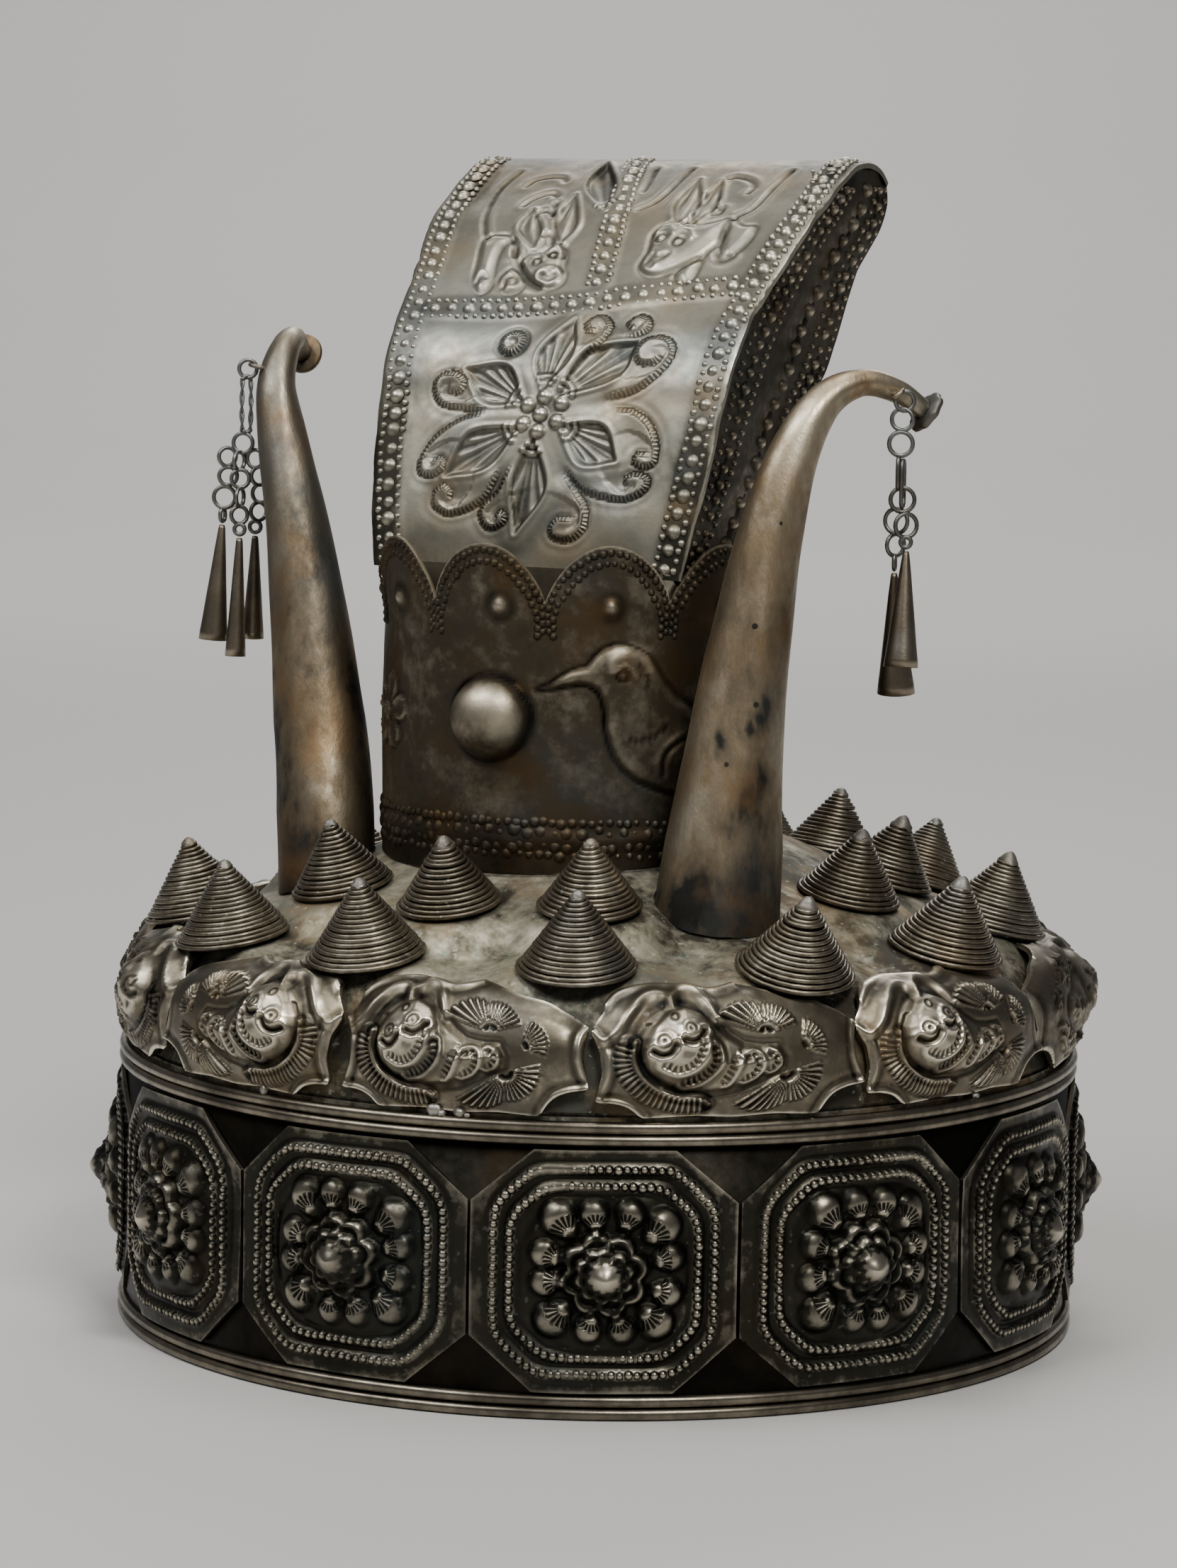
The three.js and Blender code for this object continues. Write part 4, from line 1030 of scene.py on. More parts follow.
def collar_place(u, v, h):
    """Chart of the collar: u is length round it at its body radius, v is height."""
    azimuth = np.asarray(u, float) / COLLAR["radius"]
    radius = collar_radius(v, azimuth) + h
    x, y = radius * np.sin(azimuth), -radius * np.cos(azimuth)
    z = np.maximum(v, cap_height(x, y) + 0.3)
    return to_crown(np.stack([x, y, z], -1))


BIRD_BACK = [
    (12.4, 147.9), (15.0, 148.9), (17.9, 151.0), (20.3, 152.3), (23.2, 153.0), (24.7, 155.0),
    (26.7, 156.8), (29.2, 157.7), (32.1, 157.5), (35.1, 156.4), (37.4, 154.9), (39.1, 153.1),
    (41.4, 149.6), (44.2, 146.4), (48.5, 143.6), (54.0, 139.0), (62.0, 136.0),
]
BIRD_BELLY = [
    (62.0, 128.0), (52.0, 125.4), (46.5, 124.8), (42.5, 125.2), (38.3, 126.5), (34.8, 128.0),
    (31.8, 130.3), (29.6, 133.2), (28.3, 136.4), (27.5, 139.7), (27.4, 142.5), (26.9, 145.4),
    (25.7, 147.7), (23.6, 149.1), (21.1, 149.2), (18.3, 148.8), (15.6, 148.2),
]
BIRD_WING = [(48.5, 137.6), (45.8, 137.2), (43.3, 135.8), (41.3, 134.1), (40.4, 132.0), (40.4, 129.0)]
BIRD_BROW = [(30.0, 152.6), (31.4, 153.2), (32.9, 152.4), (34.0, 151.1)]
BIRD_TICKS = [(34.6, 153.4), (35.5, 152.7), (36.3, 151.4), (36.7, 150.1), (36.3, 148.9)]
NECK_TICKS = [
    (32.8, 137.3), (33.9, 136.8), (35.1, 136.9), (36.0, 137.3), (37.1, 137.4), (38.3, 137.8),
    (39.2, 138.6), (40.2, 139.1), (41.0, 139.7),
]
SCALLOP_ROWS = [(1.5, 5.0), (3.9, 3.2)]  # how far in from the rim, and how far down between two scallops
FOOT_ROWS = [  # height, pitch, size and wander of the rows of beads round the foot
    (118.4, 2.1, 0.95, 0.15), (116.0, 3.0, 1.25, 0.4), (113.4, 2.6, 1.25, 0.5), (111.2, 2.5, 1.0, 0.3),
]
SCALLOP_BUMPS = {0: 3.6, 1: 0.4}  # how far the bump stands to the side of the middle, by scallop


def collar_relief(u, v):
    r = Relief(u, v)
    azimuth = u / COLLAR["radius"]
    half = math.pi * COLLAR["radius"] / COLLAR["scallops"]
    rim = scallop(azimuth)
    for number in range(COLLAR["scallops"]):
        middle = number * 2 * half if number < 6 else (number - COLLAR["scallops"]) * 2 * half
        gap = np.hypot(u - middle - SCALLOP_BUMPS.get(number, 1.5), v - 165.8)
        r.height += 1.5 * hump(gap, 1.9)
        r.wear += 0.30 * hump(gap, 1.3) - 0.25 * hump(gap - 2.9, 0.9)
    r.wear += 0.36 * ease((0.5 - (rim - v)) / 0.4)
    gap = np.hypot(u - 1.5, v - 141.0)
    r.height += 7.2 * np.clip(1 - (gap / 9.5) ** 2.2, 0, 1) ** 0.62
    # The boss is polished a little all over, and a painted highlight brightens its upper right side.
    boss_painted_highlight = ease(0.45 + (0.5 * (u - 1.5) + v - 141.0) / 14)
    r.wear += (0.06 + 0.42 * boss_painted_highlight) * ease((9.2 - gap) / 5) - 0.45 * hump(gap - 9.7, 0.8)
    bird = r.inside(np.vstack([BIRD_BACK, BIRD_BELLY]))
    r.height += 0.7 * ease(bird / 3.5) + 0.55 * ease(bird / 0.9)
    r.height -= 0.35 * hump(bird + 0.5, 0.5)
    r.wear += 0.12 * ease(bird / 1.2) * ease((4.0 - bird) / 3.0) - 0.40 * hump(bird + 0.4, 0.45)
    crown = np.hypot(u - 33.0, v - 153.2)
    r.wear += 0.30 * hump(crown - 4.2, 1.1) * (v > 152)
    gap, _, _ = r.away(smooth_curve(BIRD_WING, 4))
    r.height += 0.35 * hump(gap - 1.0, 0.7) - 0.35 * hump(gap, 0.5)
    r.wear -= 0.32 * hump(gap, 0.5)
    eye = np.hypot(u - 31.0, v - 151.1)
    r.height += 0.35 * hump(eye, 0.7) - 0.40 * hump(eye - 1.25, 0.34)
    r.wear += 0.15 * hump(eye, 0.6) - 0.45 * hump(eye - 1.25, 0.34)
    gap, _, _ = r.away(BIRD_BROW)
    r.press(ease(1 - gap / 0.8), 0.5, 0.3)
    for tu, tv in BIRD_TICKS + NECK_TICKS:
        gap = np.hypot(u - tu, (v - tv) * 0.6)
        r.press(hump(gap, 0.32), -0.25, -0.35)
    for cu in (-33.5, -76.0, 78.0, 112.0):
        for k in range(5):
            outline_leaf(r, cu, 140.0, 18 + 72 * k + 8 * math.sin(cu), 1.4, 8.6, 2.7)
        r.dome(cu, 140.0, 2.2, 1.0, wear=0.15)
    r.dents(np.random.default_rng(21), 90, (-139, 139), (112, 164), (2.5, 8), (-0.30, 0.16))
    r.height += 0.5 * hump(v - 114.6 + 0.5 * np.sin(u * 0.3), 1.8)
    r.wear -= 0.16 * ease((121 - v) / 5)
    return r


def outline_leaf(r, cu, cv, degrees, start, end, half):
    """A petal drawn by its rim: round end, sunk middle."""
    a = math.radians(degrees)
    along = (r.u - cu) * math.cos(a) + (r.v - cv) * math.sin(a)
    across = (r.v - cv) * math.cos(a) - (r.u - cu) * math.sin(a)
    t = np.clip((along - start) / (end - start), 0, 1)
    gap = np.abs(across) - half * np.sqrt(np.clip(t * (1 - t) * 4, 0, 1)) * (0.6 + 0.5 * t)
    line = hump(gap, 0.6) * ((t > 0) & (t < 1))
    r.height += 0.75 * line + 0.3 * (gap < 0) * ((t > 0) & (t < 1))
    r.wear += 0.22 * line - 0.22 * hump(gap - 0.9, 0.5) * ((t > 0) & (t < 1))


def make_collar(material):
    turn = math.pi * COLLAR["radius"]
    parts = Parts()
    for first, last, pitch in ((-85.0, 85.0, 0.63), (85.0, 2 * turn - 85.0, 1.3)):  # front, then back
        u, v, shape = chart(first, last, COLLAR_FOOT, COLLAR["apex"] + 0.3, pitch)
        relief = collar_relief(np.where(u > turn, u - 2 * turn, u), v)
        relief.u = u
        flat = np.minimum(v, scallop(u / COLLAR["radius"]))
        flat = np.maximum(flat, COLLAR_FOOT)
        quads = grid_quads(*shape)
        quads = quads[(v[quads] <= scallop(u[quads] / COLLAR["radius"]) + 0.01).any(axis=1)]
        points = collar_place(u, flat, relief.height)
        wear = np.clip(0.5 + relief.wear, 0, 1)
        parts.add(points, quads, wear=wear, phase=relief.phase, strokes=relief.strokes)
    around = np.linspace(-turn, turn, 400, endpoint=False)
    rim = scallop(around / COLLAR["radius"])
    lining = [(rim, 0.02, 0.9), (rim, -0.85, 0.7), (np.minimum(rim - 2, 160.0), -0.95, 0.3),
              (0 * rim + 115.0, -0.95, 0.2)]
    rings = [collar_place(around, level, lift) for level, lift, _ in lining]
    shades = np.repeat([shade for _, _, shade in lining], len(around))
    parts.add(np.vstack(rings), grid_quads(len(rings), len(around), wrap=True)[:, ::-1], wear=shades)
    rng = np.random.default_rng(31)
    step = 2 * math.pi / COLLAR["scallops"]
    for k in range(COLLAR["scallops"]):
        middle = k * step
        if middle > math.pi:
            middle -= 2 * math.pi
        for inset, tail in SCALLOP_ROWS:
            t = np.linspace(-1, 1, 90)
            azimuth = middle + t * step / 2 * (1 - 0.030 * inset)
            level = scallop(middle + t * step / 2 * 0.99) - inset * (1.0 + 0.15 * np.abs(t))
            line = np.stack([azimuth * COLLAR["radius"], level], -1)
            line = np.vstack([line[0] - [(0, tail)], line, line[-1] - [(0, tail)]])
            spots = evenly(line, 1.75)
            spots = spots + rng.normal(0, 0.10, spots.shape)
            sizes = 0.76 * rng.uniform(0.75, 1.1, len(spots))
            beads(parts, spots, collar_place, sizes, lift=0.70, wear=0.42, sides=7)
    for z, pitch, size, wander in FOOT_ROWS:
        across = np.arange(-turn, turn, pitch)
        spots = np.stack([across, np.full(len(across), z)], -1)
        spots = spots + rng.normal(0, wander, spots.shape)
        sizes = size * rng.uniform(0.6, 1.15, len(spots))
        beads(parts, spots, collar_place, sizes, lift=0.55, wear=0.46, sides=8)
    parts.build("scalloped_collar", material, ["collar"])


# ---------------------------------------------------------------- crest

def crest_line():
    """The crest's front sheet from the side, up and over the top: length along it, place and outward."""
    rows = [(y, z) for y, z in zip(CREST_FRONT, CREST_Z)] + [CREST_TOP]
    rows += [(CREST_BACK[-1], CREST_Z[-1]), (CREST_BACK[-2], CREST_Z[-2])]
    line = smooth_curve(rows, 10)
    return length_along(line), line, -outward(line)


CREST_LENGTH, CREST_LINE, CREST_OUT = crest_line()


def crest_place(u, s, h):
    y, z = read(s, CREST_LENGTH, CREST_LINE)
    ny, nz = read(s, CREST_LENGTH, CREST_OUT)
    return to_crown(np.stack([u, y + ny * h, z + nz * h], -1))


def crest_half(s):
    return np.interp(np.interp(s, CREST_LENGTH, CREST_LINE[:, 1]), CREST_Z, CREST_HALF)


FLOWER_BEADS = [
    (-0.5, 35.9), (-4.3, 33.6), (-0.4, 32.0), (4.0, 34.4), (4.5, 38.6), (0.0, 40.1), (-3.9, 38.0),
]
PETALS = [  # base, tip, and the widest point on each side
    ((-0.6, 41.6), (2.0, 60.2), (-4.2, 50.1), (4.7, 50.6)),
    ((3.2, 40.2), (19.6, 54.4), (7.9, 51.2), (17.1, 45.4)),
    ((5.0, 33.6), (19.8, 26.0), (15.4, 33.9), (11.0, 25.2)),
    ((-1.2, 30.4), (-3.0, 8.6), (3.4, 19.2), (-5.1, 20.6)),
    ((-5.4, 32.8), (-22.6, 21.0), (-11.9, 23.4), (-17.6, 31.2)),
    ((-5.6, 38.6), (-21.8, 46.2), (-15.8, 38.6), (-11.2, 47.2)),
]
SCROLLS = [
    [(7.2, 48.6), (10.8, 53), (12.3, 57.7), (9.8, 61.2), (6.6, 61.8), (4.7, 58.9), (6.3, 56),
     (8.7, 56.1)],
    [(13.7, 55.5), (18.1, 55), (21.4, 57.2), (20.8, 60.8), (17.3, 62.1), (14.8, 59.2), (17, 56.9)],
    [(13.9, 39.2), (22.3, 42.2), (27.7, 47.4), (29.4, 52.3), (26.6, 55.9), (21.9, 55.8), (19.4, 52),
     (21, 48.4), (25.1, 48.6), (26.8, 51)],
    [(15.8, 38.7), (21.8, 38.3), (26.4, 35.7), (29.2, 31.4), (29.8, 26.5), (27.2, 24.5), (23.5, 25.7),
     (24.2, 28.5), (27.1, 28.6)],
    [(6.4, 24.5), (11.4, 19.3), (17.7, 17.3), (23.6, 17), (28, 19.4), (28.7, 22.6), (25.5, 24.1),
     (22.1, 22.9), (22.6, 20.2)],
    [(7.1, 24), (11.4, 19.3), (14.4, 15.6), (14.8, 10.7), (11.3, 7.4), (6.5, 7.7), (5, 10.3), (7, 13.1),
     (10.6, 13.3)],
    [(-6.3, 25.2), (-8.9, 18.5), (-12.1, 15.6), (-12.8, 12.3), (-9.9, 9.1), (-5.8, 10.4), (-5, 13.2),
     (-7.6, 14.1), (-9.1, 11.9)],
    [(-7.4, 24), (-11, 16.7), (-15.4, 13.3), (-20.6, 12), (-24.7, 14), (-25.2, 17.3), (-22.5, 19.6),
     (-19.8, 18), (-20, 15.3)],
    [(-13.9, 36.6), (-20.4, 35.3), (-26.4, 31.1), (-29.7, 26), (-29.6, 21.5), (-25.7, 20.6),
     (-22.4, 22.9), (-23.5, 25.6), (-26.6, 25.5)],
    [(-13.8, 36.1), (-20, 36.4), (-26.4, 37.3), (-29.5, 40.6), (-29, 44.6), (-24.9, 45.9), (-20.8, 43.7),
     (-22, 40.3), (-25.7, 40.2)],
]

CALF = {  # outlines and lines of the left-hand animal
    "face": [
        (-18.1, 77.9), (-17.2, 79.5), (-15.5, 80.2), (-13.7, 80.7), (-12.7, 82.0), (-11.2, 82.9),
        (-9.6, 81.7), (-8.6, 78.8), (-8.1, 76.6), (-6.8, 74.3), (-6.7, 71.6), (-8.4, 70.2),
        (-11.0, 70.5), (-13.5, 72.0), (-15.8, 74.2), (-17.5, 76.2),
    ],
    "pads": [
        [(-30.9, 84.5), (-29.8, 77.6), (-28.9, 72.8), (-28.0, 69.9), (-26.0, 67.8), (-24.4, 68.8),
         (-24.3, 71.8), (-25.4, 76.5), (-25.9, 80.2), (-25.6, 83.0), (-23.9, 84.4), (-26.6, 86.0)],
        [(-21.4, 70.0), (-21.9, 72.4), (-20.8, 74.8), (-19.4, 74.9), (-16.3, 71.9), (-15.6, 70.4),
         (-16.6, 68.4), (-19.1, 67.8)],
    ],
    "ears": [
        ((-17.4, 82.6), (-22.8, 95.6), (-23.7, 88.6), (-17.6, 88.2)),
        ((-11.0, 83.4), (-14.5, 101.6), (-15.6, 92.4), (-9.4, 90.4)),
    ],
    "eyes": [(-14.3, 77.2, 1.15), (-11.0, 79.5, 1.0)],
    "brows": [
        [(-17.9, 77.4), (-17.3, 79.0), (-15.8, 79.6), (-13.8, 79.0), (-12.8, 78.0)],
        [(-13.4, 80.4), (-12.6, 81.4), (-11.2, 82.0), (-9.9, 81.2), (-9.5, 79.7)],
        [(-12.3, 73.5), (-10.8, 74.4), (-9.4, 75.1), (-8.0, 74.3)],
    ],
    "marks": [
        [(-11.3, 72.5), (-9.4, 71.9), (-8.0, 72.9)],
        [(-21.8, 81.4), (-20.1, 78.0), (-17.6, 74.4), (-14.4, 71.2), (-11.3, 69.8)],
        [(-20.8, 93.6), (-20.2, 95.2), (-18.1, 94.8), (-17.1, 93.7)],
        [(-16.4, 86.1), (-15.7, 86.9), (-14.4, 86.1), (-13.4, 84.0)],
        [(-26.2, 97.4), (-25.3, 99.8), (-23.2, 101.9), (-21.1, 102.7), (-19.4, 101.5)],
        [(-29.3, 105.9), (-28.2, 108.4), (-25.3, 109.7), (-21.8, 109.8), (-20.1, 108.1)],
        [(-34.5, 113.1), (-35.8, 103.7), (-34.3, 93.3), (-31.9, 87.0), (-30.2, 84.8)],
        [(-18.6, 98.8), (-16.4, 92.9), (-12.7, 84.8)],
        [(-20.2, 69.8), (-20.2, 72.2), (-18.4, 72.4), (-17.4, 70.8)],
        [(-23.7, 84.5), (-22.2, 82.8), (-21.4, 79.8)], [(-27.4, 70.8), (-27.0, 72.8), (-25.8, 72.0)],
    ],
}
GOAT = {  # outlines and lines of the right-hand animal
    "face": [
        (12.9, 90.1), (11.8, 87.2), (12.2, 84.2), (12.6, 81.1), (12.0, 77.4), (13.2, 75.4),
        (15.5, 74.3), (17.8, 74.7), (19.7, 75.9), (22.0, 77.4), (24.5, 79.6), (26.4, 82.4),
        (28.0, 85.4), (28.6, 88.6), (28.3, 93.0), (26.5, 92.3), (23.4, 91.0), (19.9, 90.4),
        (15.8, 91.0),
    ],
    "pads": [
        [(22.3, 76.6), (22.1, 73.5), (25.4, 72.4), (26.0, 77.1), (25.6, 79.6)],
        [(28.6, 92.8), (29.5, 85.8), (30.3, 82.1), (32.2, 80.9), (33.9, 82.8), (35.3, 86.5), (35.6, 90.6),
         (32.4, 90.8)],
    ],
    "ears": [
        ((15.4, 90.8), (14.0, 109.4), (12.0, 99.4), (18.4, 98.6)),
        ((19.6, 90.6), (20.2, 108.8), (18.0, 98.6), (22.8, 98.0)),
    ],
    "eyes": [(14.1, 85.5, 1.35), (18.9, 84.2, 1.35)],
    "brows": [[(12.3, 87.7), (13.4, 89.3), (15.6, 88.8), (16.7, 87.2)],
              [(17.5, 86.5), (18.8, 88.1), (20.8, 87.6), (22.3, 85.5)]],
    "marks": [
        [(14.0, 80.1), (15.7, 79.2), (17.4, 79.8), (16.2, 78.2)],
        [(13.4, 77.4), (13.8, 78.7), (15.0, 76.9)],
        [(20.9, 109.6), (22.8, 110.8), (26.9, 109.2), (29.0, 106.5), (28.4, 104.1)],
        [(29.3, 93.8), (32.4, 97.4), (33.6, 104.0), (35.4, 114.0)],
        [(29.1, 81.4), (30.2, 79.9), (31.8, 79.4), (33.2, 80.6)],
        [(3.9, 96.4), (7.0, 100.0), (8.9, 107.0), (9.9, 114.5)],
        [(1.8, 104.4), (1.5, 108.5), (0.7, 114.5)],
        [(22.4, 96.0), (23.2, 97.6), (24.8, 97.2), (24.8, 95.4), (23.2, 95.2)],
    ],
}
CALF_LEAF = ((-4.4, 95.6), (-13.4, 117.9), (-13.6, 105.6), (-5.8, 105.6))


def petal_outline(base, tip, left, right):
    one = smooth_curve([base, left, tip], 7)
    two = smooth_curve([tip, right, base], 7)
    return np.vstack([one[:-1], two[:-1]])


def petal(r, base, tip, left, right, sunk=0.38, rim=0.34, veins=1.02):
    """A leaf pressed a little under a soft swelling, with a fine rim, and veins that fan from its base."""
    outline = petal_outline(base, tip, left, right)
    inside = r.inside(outline)
    axis = np.array(tip) - np.array(base)
    length = np.linalg.norm(axis)
    axis = axis / length
    along = (r.u - base[0]) * axis[0] + (r.v - base[1]) * axis[1]
    across = (r.v - base[1]) * axis[0] - (r.u - base[0]) * axis[1]
    r.height -= sunk * ease(inside / 0.8)
    r.height += rim * hump(inside + 0.55, 0.60)
    r.height += 0.40 * hump(inside + 1.8, 2.2)
    r.wear += 0.05 * hump(inside + 0.55, 0.45) - 0.30 * hump(inside - 0.15, 0.38)
    r.wear -= 0.05 * ease(inside / 0.8)
    fan = np.arctan2(np.abs(across) * (1 - 0.018 * along), along + 0.12 * length) * 50.0 / veins
    mask = ease(inside / 0.9) * ease((along - 0.20 * length) / 1.4)
    r.chase(mask, fan, 0.28, sink=0.30, shade=0.20, shine=0.06)
    gap = np.hypot(r.u - base[0], r.v - base[1])
    spread = np.abs(across) < 0.85 * along + 0.4
    for ring in (1.9, 3.5):
        r.press(hump(gap - ring, 0.42) * spread, 0.42, 0.26)
        r.wear -= 0.34 * hump(gap - ring - 0.8, 0.32) * spread


def turning(line):
    steps = np.diff(np.asarray(line, float), axis=0)
    return np.sign((steps[:-1, 0] * steps[1:, 1] - steps[:-1, 1] * steps[1:, 0]).sum())


def scroll(r, line, puff=0.55, reach=5.0, pitch=1.05):
    """A chased line that ends in a curl: soft swelling on its inner side, edged by short strokes."""
    hand = turning(line)
    curve = smooth_curve(line, 5)
    gap, along, side = r.away(curve)
    inner = (side * hand) > 0
    length = np.linalg.norm(np.diff(curve, axis=0), axis=1).sum()
    fade = ease(along / 5.0) * ease((length - along) / 1.5 + 0.3)
    r.height += puff * inner * fade * (ease(gap / 1.6) * hump(gap, reach))
    r.press(hump(gap, 0.50) * fade, -0.22, -0.16)
    r.press(hump(gap - 1.4, 1.3) * (~inner) * fade, -0.12, -0.05)
    r.chase(ease((1.55 - gap) / 0.5) * inner * fade, along * 2 * np.pi / pitch, 0.60, sink=0.14,
            shade=0.16)


def animal(r, shapes):
    """A low relief animal: soft face, pads, folded ears, eyes with brows, and chased marks."""
    inside = r.inside(smooth_curve(shapes["face"], 4, closed=True))
    r.height += 0.55 * ease(inside / 3.6) + 0.50 * ease((inside + 0.2) / 1.0)
    r.height -= 0.35 * hump(inside + 0.8, 0.6)
    r.wear += 0.14 * ease(inside / 1.2) - 0.22 * hump(inside + 0.5, 0.5)
    for line in shapes["pads"]:
        inside = r.inside(smooth_curve(line, 4, closed=True))
        r.height += 0.55 * ease(inside / 1.6)
        r.height -= 0.30 * hump(inside + 0.5, 0.5)
        r.wear += 0.10 * ease(inside / 1.0) - 0.22 * hump(inside + 0.3, 0.45)
    for base, tip, left, right in shapes["ears"]:
        inside = r.inside(petal_outline(base, tip, left, right))
        r.height -= 0.40 * ease(inside / 0.9)
        r.height += 0.45 * hump(inside + 0.7, 0.6)
        r.wear += 0.14 * hump(inside + 0.8, 0.5) - 0.04 * ease(inside / 0.9)
        r.wear -= 0.26 * hump(inside - 0.15, 0.42)
        middle = [base, ((left[0] + right[0]) / 2, (left[1] + right[1]) / 2), tip]
        gap, _, _ = r.away(middle)
        r.height += 0.45 * hump(gap, 0.7) * ease(inside / 0.6)
        r.wear += 0.14 * hump(gap, 0.6) * ease(inside / 0.6)
    for cu, cv, size in shapes["eyes"]:
        gap = np.hypot(r.u - cu, (r.v - cv) * 1.15)
        r.height += 0.30 * hump(gap, 0.6 * size) - 0.40 * hump(gap - size, 0.42)
        r.wear -= 0.50 * hump(gap - size, 0.42)
    for line in shapes["brows"]:
        gap, _, _ = r.away(smooth_curve(line, 5))
        r.height += 0.45 * hump(gap, 0.8)
        r.wear += 0.16 * hump(gap, 0.6) - 0.22 * hump(gap - 1.15, 0.4)
    for line in shapes["marks"]:
        gap, _, _ = r.away(smooth_curve(line, 5))
        r.height += 0.20 * hump(gap - 1.4, 1.0) - 0.35 * hump(gap, 0.8)
        r.wear += 0.05 * hump(gap - 1.5, 0.8) - 0.26 * hump(gap, 0.7)


def crest_relief(u, v):
    r = Relief(u, v)
    r.dents(np.random.default_rng(11), 46, (-45, 45), (0, 125), (4, 12), (-0.35, 0.35))
    centre = np.hypot(u + 0.5, v - 36.0)
    r.height += 0.9 * hump(centre, 15.0)
    for line in SCROLLS:
        scroll(r, line)
    gap = np.hypot(u + 11.9, v - 53.3)
    r.height += 0.5 * hump(gap - 2.0, 0.8) - 0.5 * hump(gap - 3.7, 0.6) - 0.3 * hump(gap, 1.2)
    r.wear -= 0.36 * hump(gap - 3.6, 0.7)
    r.engrave(ease((3.7 - gap) / 0.5) * ease((gap - 1.8) / 0.5), np.arctan2(v - 53.3, u + 11.9) * 20)
    for base, tip, left, right in PETALS:
        petal(r, base, tip, left, right)
    for cu, cv in FLOWER_BEADS:
        r.dome(cu, cv, 1.75, 0.8, wear=0.2)
    animal(r, CALF)
    animal(r, GOAT)
    petal(r, *CALF_LEAF, sunk=0.4, rim=0.4, veins=1.6)
    column = ease((np.abs(u) - 31.0) / 6.0)
    r.wear -= 0.14 * ease((14.0 - v) / 12.0) + 0.16 * ease((v - 104.0) / 12.0)
    r.wear -= 0.08 * column + 0.32 * column * ease((44.0 - v) / 22.0)
    half = crest_half(v)
    edge = half - np.abs(u)
    r.height -= 0.5 * ease((1.6 - edge) / 1.6)
    r.wear += 0.35 * ease((0.8 - edge) / 0.6)
    return r


def border_rows():
    """Triple rows of beads: the middle line of each."""
    s = np.linspace(2.5, 122.0, 60)
    left = np.stack([-(crest_half(s) - 5.0), s], -1)
    right = np.stack([crest_half(s) - 4.3, s], -1)
    across = smooth_curve([(-35.0, 62.6), (-17.8, 63.1), (-6.8, 64.2), (0.8, 65.2), (11.0, 67.3),
                           (25.8, 69.8), (37.0, 71.5)], 8)
    upright = smooth_curve([(3.2, 71.6), (1.2, 84.0), (-1.6, 98.0), (-4.6, 111.0), (-6.4, 121.5)], 8)
    return [left, right, across, upright]


def offset_line(line, distance):
    line = np.asarray(line, float)
    return line - distance * outward(line)


BORDER_BEADS = [  # offset, pitch, wander, size and its spread, lift, shades (stained, clean), sides
    (0.0, 4.2, 0.14, 1.35, (0.85, 1.12), 0.66, (0.50, 0.74), 10),
    (-2.4, 2.2, 0.12, 0.66, (0.8, 1.15), 0.80, (0.48, 0.70), 7),
    (2.4, 2.2, 0.12, 0.66, (0.8, 1.15), 0.80, (0.48, 0.70), 7),
]
HEM_ROWS = [(173.4, 0.56), (169.5, 0.52), (165.0, 0.44), (160.0, 0.30)]  # height and shade, in the collar


def make_crest_front(material):
    rng = np.random.default_rng(41)
    s = np.linspace(0.2, CREST_LENGTH[-1] - 0.4, 90)
    wander = 0.25 * np.sin(s * 0.21) + 0.18 * np.sin(s * 0.53 + 1)
    bite = 1.2 * hump(s - 71, 2.4) + 0.8 * hump(s - 78, 1.2)
    notch = 0.9 * hump(s - 64, 3.0)
    left = np.stack([-(crest_half(s) - 0.3 + wander * 0.6 - 0.2 - bite * 0.7), s], -1)
    right = np.stack([crest_half(s) - 0.3 - wander * 0.6 - notch * 0.6, s], -1)
    keep = np.vstack([left, right[::-1]])
    u, v, shape = chart(-49.8, 49.8, 0.0, CREST_LENGTH[-1], 0.45)
    relief = crest_relief(u, v)
    for line in border_rows():
        gap, _, _ = relief.away(line[::3])
        relief.height += 0.25 * ease((4.4 - gap) / 2.4)
        relief.wear -= 0.16 * ease((4.2 - gap) / 2.6)
    parts = Parts()
    sheet(parts, relief, shape, crest_place, keep, back=1.2)

    def lifted(pu, pv, ph):
        return crest_place(pu, pv, ph + 0.22)

    for line in border_rows():
        for side, pitch, wander, size, spread, lift, shades, sides in BORDER_BEADS:
            spots = evenly(offset_line(line, side) if side else line, pitch)
            spots = spots + rng.normal(0, wander, spots.shape)
            stained = (spots[:, 1] < 34) & (np.abs(spots[:, 0]) > 30)
            for some, shade in zip((stained, ~stained), shades):
                sizes = size * rng.uniform(*spread, some.sum())
                beads(parts, spots[some], lifted, sizes, lift=lift, wear=shade, sides=sides)
    for cu, cv in FLOWER_BEADS:
        beads(parts, [(cu, cv)], crest_place, 1.6, lift=0.9, wear=0.85, sides=14, base=1.1)
    top, columns = HEM_ROWS[0][0], 38
    across = np.tile(np.linspace(-36.5, 36.5, columns), len(HEM_ROWS))
    level, shade = np.repeat(HEM_ROWS, columns, axis=0).T
    inside_collar = -np.sqrt(43.2**2 - across**2) * np.where(level < top, 1.0, 9.0)
    depth = np.maximum(-27.85 + 0.06 * (top - level), inside_collar)
    parts.add(to_crown(np.stack([across, depth, level], -1)), grid_quads(len(HEM_ROWS), columns),
              wear=shade)
    parts.build("crest_front_sheet", material, ["crest_front"])


SIDE_ROWS = [  # part of the way from the front edge to the back, pitch and size of the beads
    (0.10, 2.6, 0.70), (0.205, 3.7, 1.15), (0.31, 2.4, 0.75), (0.59, 4.9, 1.50), (0.76, 2.6, 0.72),
    (0.86, 3.8, 1.10), (0.95, 2.6, 0.62),
]


